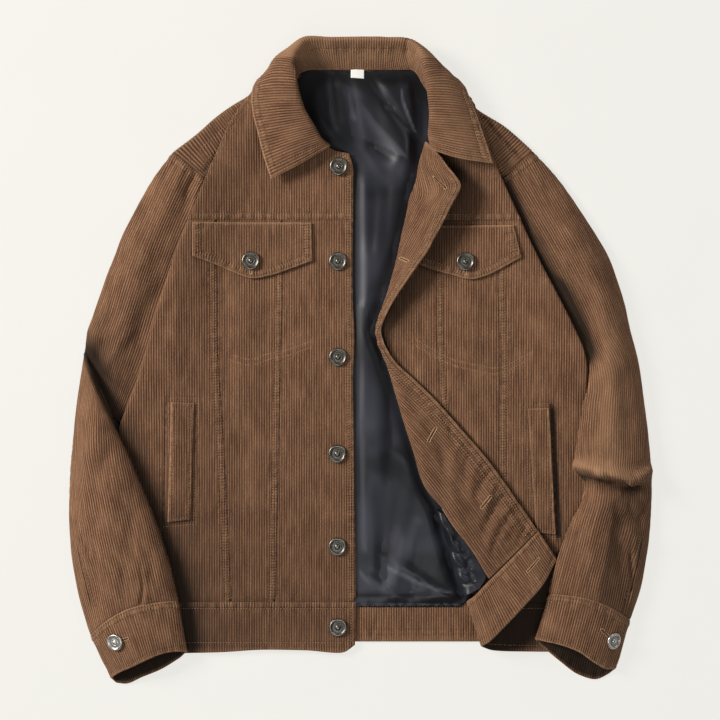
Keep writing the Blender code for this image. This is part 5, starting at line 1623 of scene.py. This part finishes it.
def sleeve_marks(seam, slit, beside_slit):
    """Shares of the width at which a top sleeve's seam, its cuff's slit and its stitches run."""
    return [("stitch", down_the(seam)), ("stitch", across_the(2.6)), ("stitch", across_the(7.4)),
            ("fell", across_the(5.0)), ("slit", down_the(slit, 0.86, 0.97)),
            ("stitch", down_the(beside_slit, 0.85, 0.99))]


sleeve("top_sleeve_left", [over(r) for r in LEFT_ARM + LEFT_TUCK + LEFT_FOREARM], LEFT_CREASES, False,
       61, 4.5, sleeve_marks(0.055, 0.80, 0.77), LEFT_PAINTED_SHADE)
UNDER_TUCK = (-262, -76, -296, -9, 0, 0, 0, 0, 0, 0)
left_under = LEFT_ARM + [UNDER_TUCK] + LEFT_FOREARM[2:]
sleeve("under_sleeve_left", [under(r, LEFT_DROP) for r in left_under], [], True, 62, 9.0)
sleeve("top_sleeve_right", [over(r) for r in RIGHT_ARM + RIGHT_FOREARM], RIGHT_CREASES, True,
       63, 4.5, sleeve_marks(0.945, 0.19, 0.22), RIGHT_PAINTED_SHADE_AND_HIGHLIGHTS)
right_under = RIGHT_ARM + RIGHT_FOREARM[:5] + RIGHT_FOREARM[8:]
sleeve("under_sleeve_right", [under(r, RIGHT_DROP) for r in right_under], [], False, 64, 9.0)

# ---------------------------------------------------------------- cuffs
# Each cuff is a closed band of two layers between the sleeve's end and the mouth, stitched
# along both edges and buttoned at the outer side.

CUFF_LEFT_OVER = [(-190, -314.5, 10.8), (-186.8, -313.2, 13), (-195, -311.5, 19), (-212, -313, 24.5),
                  (-230, -320, 26), (-247, -328.5, 22), (-261, -335.5, 14), (-269.8, -343, 5.5),
                  (-268, -346.2, 0.6)]
CUFF_LEFT_UNDER = [(-265.5, -347.8, 0), (-255, -349, 0), (-236, -341, 4), (-214, -331, 10.4),
                   (-194, -318.6, 10.6)]
CUFF_RIGHT_OVER = [(191, -301.5, 10.8), (188, -299, 13), (197, -300.5, 19), (215, -304, 24),
                   (235, -311.5, 25.5), (252, -323.5, 21), (266, -331.5, 14), (276.5, -332.5, 5.5),
                   (273.5, -335.5, 0.6)]
CUFF_RIGHT_UNDER = [(270, -338, 0), (257, -344, 0), (238, -339.5, 3.5), (214, -322, 10.4),
                    (195.5, -306, 10.6)]
OVER_COUNT, UNDER_COUNT = 96, 40


def cuff(name, last, drop, mouth_over, mouth_under, flip, seed, hole_end, folds):
    """A cuff from the sleeve's last station to its mouth, with its buttonhole."""
    first = np.concatenate([evenly(over(last), OVER_COUNT), evenly(under(last, drop)[::-1], UNDER_COUNT)])
    mouth = np.concatenate([evenly(mouth_over, OVER_COUNT), evenly(mouth_under, UNDER_COUNT)])
    shares = np.array([-0.012, 0.2, 0.35, 0.52, 0.68, 0.85, 1.0])
    rows = np.array([first * (1 - k) + mouth * k for k in shares])
    swell = (0.4 + 1.3 * np.sin(np.clip((shares + 0.012) / 1.012, 0, 1) * math.pi) ** 0.8)[:, None]
    rows[..., 2] += swell * smooth((rows[..., 2] - 11) / 6)
    rows[..., 2] = np.maximum(rows[..., 2], 0)
    dense = np.concatenate([rows, rows[:, :1]], 1)
    if flip:
        dense = dense[:, ::-1]
    face, p_at, q_at = strip_face(through(dense, 36))
    wide, deep = p_at[-1], q_at[-1]
    lattice = lattice_over(0, wide, 0.5, 0, deep, 0.5)
    shown = face(lattice)
    on_top = shown[:, 2] > 11
    slit_ends = (middle_of(name.replace("cuff", "cuff_button")), hole_end)
    slit = np.array([cut_of(shown[on_top], lattice[on_top], p) for p in slit_ends])
    marks = [("stitch", level(3.6, 3, wide - 3)), ("stitch", level(9.0, 3, wide - 3)),
             ("fell", level(6.3, 3, wide - 3)), ("stitch", level(deep - 5.0, 3, wide - 3)),
             ("worn", level(deep - 1.0, 2, wide - 2)), ("slit", slit)]
    # The inner side, seen in the cuff's mouth, gets painted shade all over.
    solid = shell(name, creased(face, folds), frame_of(wide, deep, 0.2), DOUBLE, marks, rows=3.6,
                  both=True, seed=seed, edge=0.5, wavy=0.45, on_table=True, inner_painted_shade=1.0,
                  painted_light=())
    HOLES.append((solid, slit, False))


cuff("cuff_left", LEFT_FOREARM[-1], LEFT_DROP, CUFF_LEFT_OVER, CUFF_LEFT_UNDER, False, 71,
     (-249.5, -296), [(-250, -284, -258, -326, 5, -0.6), (-222, -270, -222, -312, 6, 0.6),
                      (-282, -292, -276, -330, 4, 0.7)])
cuff("cuff_right", RIGHT_FOREARM[-1], RIGHT_DROP, CUFF_RIGHT_OVER, CUFF_RIGHT_UNDER, True, 72,
     (259, -287), [(252, -270, 250, -318, 5, -0.6), (226, -256, 222, -304, 6, 0.6),
                   (284, -290, 280, -326, 4, 0.7)])

# ---------------------------------------------------------------- collar
# Top and under collar are sewn, turned and stitched twice round the edge. The collar stands up
# behind the neck and falls over the shoulders, its wales running from the neck to the edge.

# Sections from the left point round to the right point: neck seam, middle of the stand, roll
# line, middle of the fall, outer edge.
COLLAR = [
    [(-40, 232, 12.5), (-36, 233, 14.5), (-32, 233.5, 17.5), (-64, 213.5, 21), (-96.5, 197.2, 19)],
    [(-50, 243, 13), (-46, 244, 17), (-42, 243.5, 22), (-72, 233, 26), (-104.5, 221, 19.5)],
    [(-60, 259, 13), (-56, 260, 19), (-51, 259, 25.5), (-80, 252, 28), (-111, 247, 19.5)],
    [(-66, 276, 13), (-64, 277, 21), (-60.5, 275, 29), (-88, 274, 30), (-117, 272, 19.5)],
    [(-70, 291, 12), (-69, 292, 23), (-65, 292, 32), (-91, 293, 31), (-117.5, 292, 18.5)],
    [(-71, 304, 10), (-72, 306, 23), (-68.5, 309, 34), (-93, 313, 29), (-111, 306, 14)],
    [(-64, 313, 6.2), (-71, 319, 22), (-70.5, 324, 35), (-92, 328, 25), (-90, 321, 12)],
    [(-54, 316.5, 4.9), (-64, 326, 18), (-68.5, 336.5, 35), (-79.5, 337.5, 22), (-76, 333, 9)],
    [(-44, 316.5, 4.3), (-55, 332, 18), (-61, 346.5, 34), (-65.5, 347.5, 20), (-63, 343, 6)],
    [(-26, 316.5, 4.1), (-28, 332.5, 17), (-29, 347.3, 33), (-29, 349, 18), (-28, 344, 4)],
    [(0, 316.5, 4.1), (0, 333.5, 17), (0, 347.7, 33), (0, 349.6, 18), (0, 344, 3.5)],
    [(26, 316.5, 4.1), (27, 332.5, 17), (28, 347.2, 33), (29, 349, 18), (28, 344, 4)],
    [(44, 316.5, 4.3), (48, 332, 17), (52, 344.8, 34), (56, 347, 20), (54, 342, 6)],
    [(54, 316.5, 4.9), (57, 327, 18), (61, 338, 35), (73, 334.5, 22), (71, 329, 9)],
    [(60, 313, 5.2), (63, 318, 22), (65.5, 323, 35), (87, 320.5, 24), (86, 313, 12)],
    [(66, 302, 8.6), (67.5, 304, 23), (68.5, 307, 34), (92, 311, 28), (109.5, 301.5, 15)],
    [(74, 288, 13), (73, 289, 21), (71, 290, 32), (95, 290, 31), (117.5, 286.5, 19)],
    [(77, 272, 13.5), (76, 272, 19), (73, 272, 29), (99, 271, 31), (124.5, 269, 21)],
    [(79, 256, 13.5), (77, 256, 18), (72.5, 255, 27), (102, 252, 31), (131, 250, 23)],
    [(83, 241, 13.5), (80, 243, 17), (71.2, 243.5, 25), (105, 236, 31), (137, 232, 25)],
    [(91, 226, 14), (84, 226, 19), (75, 228.5, 29.5), (103, 219, 33.5), (142.5, 213.5, 27)],
]
# Painted highlights, below zero: on the stand behind the neck and on the fall at +X.
COLLAR_PAINTED_HIGHLIGHTS = [(30, -0.75, [(60, 326), (-60, 326)]), (50, -0.28, [(98, 215), (94, 255), (90, 300)])]
collar_net = limb_net(COLLAR, 60, 240).transpose(1, 0, 2)
collar_face, p_at, q_at = strip_face(collar_net)
wide, deep = p_at[-1], q_at[-1]
COLLAR_CREASES = [
    (-76, 214, -92, 232, 6, 0.5), (-70, 250, -108, 262, 6, -0.5), (-72, 300, -110, 296, 7, 0.5),
    (50, 350, 52, 322, 3, -1.2), (20, 350, 16, 324, 5, 0.5), (-40, 348, -34, 322, 5, -0.5),
    (84, 262, 126, 252, 7, 0.7), (80, 246, 136, 226, 7, -0.7), (90, 286, 116, 280, 6, 0.6),
    (-66, 330, -84, 330, 4, 0.6), (66, 326, 86, 318, 4, 0.6),
]
shell("collar", creased(collar_face, COLLAR_CREASES), frame_of(wide, deep), DOUBLE,
      [("stitch", level(deep - 3.2, 3, wide - 3)), ("stitch", level(deep - 9.0, 9, wide - 9)),
       ("fell", level(deep - 6.1, 6, wide - 6)), ("worn", level(deep - 0.8, 1, wide - 1)),
       ("stitch", plumb(3.2, 20, deep - 3)), ("stitch", plumb(9.0, 20, deep - 9)),
       ("stitch", plumb(wide - 3.2, 20, deep - 3)), ("stitch", plumb(wide - 9.0, 20, deep - 9)),
       ("stitch", level(deep * 0.36, 90, wide - 90))],
      rows=4.4, both=True, seed=81, edge=0.5, wavy=0.5,
      painted_light=COLLAR_PAINTED_HIGHLIGHTS)

# ---------------------------------------------------------------- buttons
# Die-cast shank buttons, nickel plated: a rolled rim, a sunk ring with fine flutes and a plain
# dome. The fronts' and flaps' are dark nickel, the cuffs' bright.


def plated(name, face, sunk, roughness):
    """Nickel plate: a soft mirror, darker and duller where it is sunk."""
    made, tree, shader = material(name)
    fine = noise(tree, 900.0, 4.0)
    stain = worked_out(tree, "MULTIPLY_ADD", told(tree, "sunk"), fine, fine)
    dressed(tree, shader, mixed(tree, ranged(tree, stain, 0.45, 1.5), face, sunk), Metallic=1.0)
    dull = ranged(tree, stain, 0.4, 1.5, roughness, roughness + 0.3)
    tree.links.new(dull, shader.inputs["Roughness"])
    return made


dark_nickel = plated("dark_nickel_plate", "#77736B", "#211D19", 0.32)
bright_nickel = plated("bright_nickel_plate", "#D8D5CD", "#6A655C", 0.3)

# Share of the radius, height in mm, how sunk it is.
PROFILE = [
    (0.0, 3.90, 0), (0.07, 3.88, 0), (0.14, 3.78, 0), (0.2, 3.55, 0), (0.245, 3.2, 0.1), (0.27, 2.8, 0.6),
    (0.30, 2.45, 1), (0.34, 2.35, 1), (0.37, 2.55, 0.5), (0.40, 2.62, 0.2), (0.43, 2.5, 0.5),
    (0.48, 2.36, 0.9), (0.60, 2.30, 0.9), (0.70, 2.42, 0.8), (0.735, 2.75, 0.5), (0.78, 3.05, 0.1),
    (0.83, 3.2, 0), (0.88, 3.2, 0), (0.93, 3.08, 0), (0.965, 2.82, 0), (0.99, 2.45, 0), (1.0, 2.1, 0),
    (1.0, 1.5, 0.3), (0.985, 1.2, 0.6), (0.94, 0.9, 1), (0.86, 0.55, 1), (0.6, 0.4, 1), (0.3, 0.3, 1),
    (0.27, 0.1, 1), (0.0, 0.1, 1),
]
FLUTES = 24
ROUND = 72              # points round the button


def button(name, size, look):
    """A button turned from its profile, on the axis of the node that it replaces."""
    solid_mesh = bpy.data.objects[name].data
    co = np.empty(len(solid_mesh.vertices) * 3)
    solid_mesh.vertices.foreach_get("co", co)
    co = co.reshape(-1, 3)
    middle = (co.max(0) + co.min(0)) / 2
    spread = np.cov((co - co.mean(0)).T)
    axis = np.linalg.eigh(spread)[1][:, 0]
    axis = axis if axis[2] > 0 else -axis
    along = (co - middle) @ axis
    base = middle + axis * along.min()
    flat = co[np.abs(along - along.min()) < 0.00035]
    base = base + (flat.mean(0) - base) - axis * ((flat.mean(0) - base) @ axis)
    side = np.cross(axis, (0.0, 1.0, 0.0))
    side /= np.linalg.norm(side)
    other = np.cross(axis, side)
    angle = np.arange(ROUND) * 2 * math.pi / ROUND
    points, sunk = [], []
    for share, high, deep_by in PROFILE[1:-1]:
        flute = 0.14 * np.cos(angle * FLUTES) * math.exp(-((share - 0.59) / 0.08) ** 2)
        radius = share * size / 2
        points.append(base + MM * (radius * (np.cos(angle)[:, None] * side + np.sin(angle)[:, None] * other)
                                   + (high + flute)[:, None] * axis))
        sunk.append(np.clip(deep_by - 2.2 * flute, 0, 1.2))
    points += [[base + axis * PROFILE[row][1] * MM] for row in (0, -1)]
    points = np.concatenate(points)
    sunk = np.concatenate(sunk + [[0.0, 1.0]])
    rings = len(PROFILE) - 2
    k = np.arange(ROUND)
    n = (k + 1) % ROUND
    faces = [(rings * ROUND, int(i), int(j)) for i, j in zip(k, n)]
    for r in range(rings - 1):
        a, b = r * ROUND, (r + 1) * ROUND
        faces += [(a + int(i), b + int(i), b + int(j), a + int(j)) for i, j in zip(k, n)]
    low = (rings - 1) * ROUND
    faces += [(rings * ROUND + 1, low + int(j), low + int(i)) for i, j in zip(k, n)]
    mesh = bpy.data.meshes.new(name + "_plated")
    mesh.from_pydata(points.tolist(), [], faces)
    keep_at_points(mesh, "sunk", sunk)
    mesh.materials.append(look)
    mesh.shade_smooth()
    placed(name + "_plated", mesh, name)


BUTTON_D = 19.5         # across a button of the fronts and flaps
CUFF_BUTTON_D = 18.0    # and of the cuffs
for number in range(1, 7):
    button(f"button_{number}", BUTTON_D, dark_nickel)
for side_name in ("left", "right"):
    button(f"flap_button_{side_name}", BUTTON_D, dark_nickel)
    button(f"cuff_button_{side_name}", CUFF_BUTTON_D, bright_nickel)

# ---------------------------------------------------------------- buttonholes
# Worked by machine in tan thread: close satin stitches along both lips of each slit, fanned
# round its ends.


def spun(name, dark, light):
    """Spun polyester thread, twisted: fine slanting plies with a dull gleam."""
    made, tree, shader = material(name)
    dressed(tree, shader, mixed(tree, noise(tree, 1500.0), dark, light), Roughness=0.6)
    return made


tan_thread = spun("spun_polyester_thread_tan", "#9A7656", "#CBA682")
brown_thread = spun("spun_polyester_thread_brown", "#866347", "#B48F6D")


def thread_mesh(name, starts, ends, ups, radius, cover):
    """Many short threads as one mesh: each bulges between its two sunk ends."""
    along = ends - starts
    long = np.linalg.norm(along, axis=1, keepdims=True)
    t = along / np.maximum(long, 1e-9)
    across_it = np.cross(t, ups)
    across_it /= np.maximum(np.linalg.norm(across_it, axis=1, keepdims=True), 1e-9)
    up = np.cross(across_it, t)
    count = len(starts)
    points = np.empty((count, 8, 3))
    points[:, 0] = starts - up * radius * 0.4
    points[:, 7] = ends - up * radius * 0.4
    for row, share in ((1, 0.24), (4, 0.76)):
        centre = starts + along * share + up * radius * 0.5
        for k in range(3):
            turned = math.pi * (k * 2 / 3 + 0.5)
            points[:, row + k] = centre + radius * (across_it * math.cos(turned) + up * math.sin(turned))
    face = []
    for k in range(3):
        n = (k + 1) % 3
        face += [(0, 1 + n, 1 + k), (7, 4 + k, 4 + n), (1 + k, 1 + n, 4 + n), (1 + k, 4 + n, 4 + k)]
    faces = (np.array(face)[None] + 8 * np.arange(count)[:, None, None]).reshape(-1, 3)
    points = (points.reshape(-1, 3) - ORIGIN) * MM
    points[:, 2] = np.maximum(points[:, 2], 0)
    mesh = triangle_mesh(name, points, faces)
    mesh.materials.append(cover)
    mesh.shade_smooth()
    placed(name, mesh)


LIP_WIDTH = 1.5         # length of the stitches beside the slit
LIP_GAP = 0.62          # from one of them to the next
LIP_FROM = 0.5          # how far from the slit they start
FAN = 7                 # stitches round each end of the slit
FAN_TURN = 0.42 * math.pi       # how far the fan turns to either side
LIP_LIFT = 0.25         # how far the thread stands over the cloth


def buttonhole(solid, line, inward):
    """The stitches round one slit, as starts, ends and normals."""
    a, b = line
    long = np.hypot(*(b - a))
    d = (b - a) / long
    w = np.array([-d[1], d[0]])
    n = int(long / LIP_GAP)
    s = np.linspace(0, 1, n)[:, None]
    axis = a + (b - a) * s
    starts = [axis + w * LIP_FROM, axis - w * LIP_FROM]
    ends = [axis + w * (LIP_FROM + LIP_WIDTH), axis - w * (LIP_FROM + LIP_WIDTH)]
    for place, way in ((a, -d), (b, d)):
        for turn in np.linspace(-FAN_TURN, FAN_TURN, FAN):
            ray = way * math.cos(turn) + w * math.sin(turn)
            starts.append((place + ray * LIP_FROM)[None])
            ends.append((place + ray * (LIP_FROM + LIP_WIDTH))[None])
    starts, ends = np.concatenate(starts), np.concatenate(ends)
    far = np.full(len(starts), WELL_IN)
    p, n_p, _ = solid(starts, far, inward)
    q, _, _ = solid(ends, far, inward)
    n_p = -n_p if inward else n_p
    return p + n_p * LIP_LIFT, q + n_p * LIP_LIFT, n_p


HOLES += [(facing_solid, line, False) for line in slit_lines] + [(band_solid, band_slit, True)]
made = [buttonhole(*hole) for hole in HOLES]
starts, ends, ups = (np.concatenate(part) for part in zip(*made))
thread_mesh("buttonhole_stitches", starts, ends, ups, 0.42, tan_thread)

# ---------------------------------------------------------------- topstitching
# Heavy brown thread, about eight stitches to the inch, along every seam and edge. It sinks a
# little into the pile.

THREAD_LIFT = 0.28      # how far the thread stands over the groove that it pulls

starts, ends, ups = (np.concatenate(part) for part in zip(*THREADS))
thread_mesh("topstitching", starts + ups * THREAD_LIFT, ends + ups * THREAD_LIFT, ups, 0.36, brown_thread)
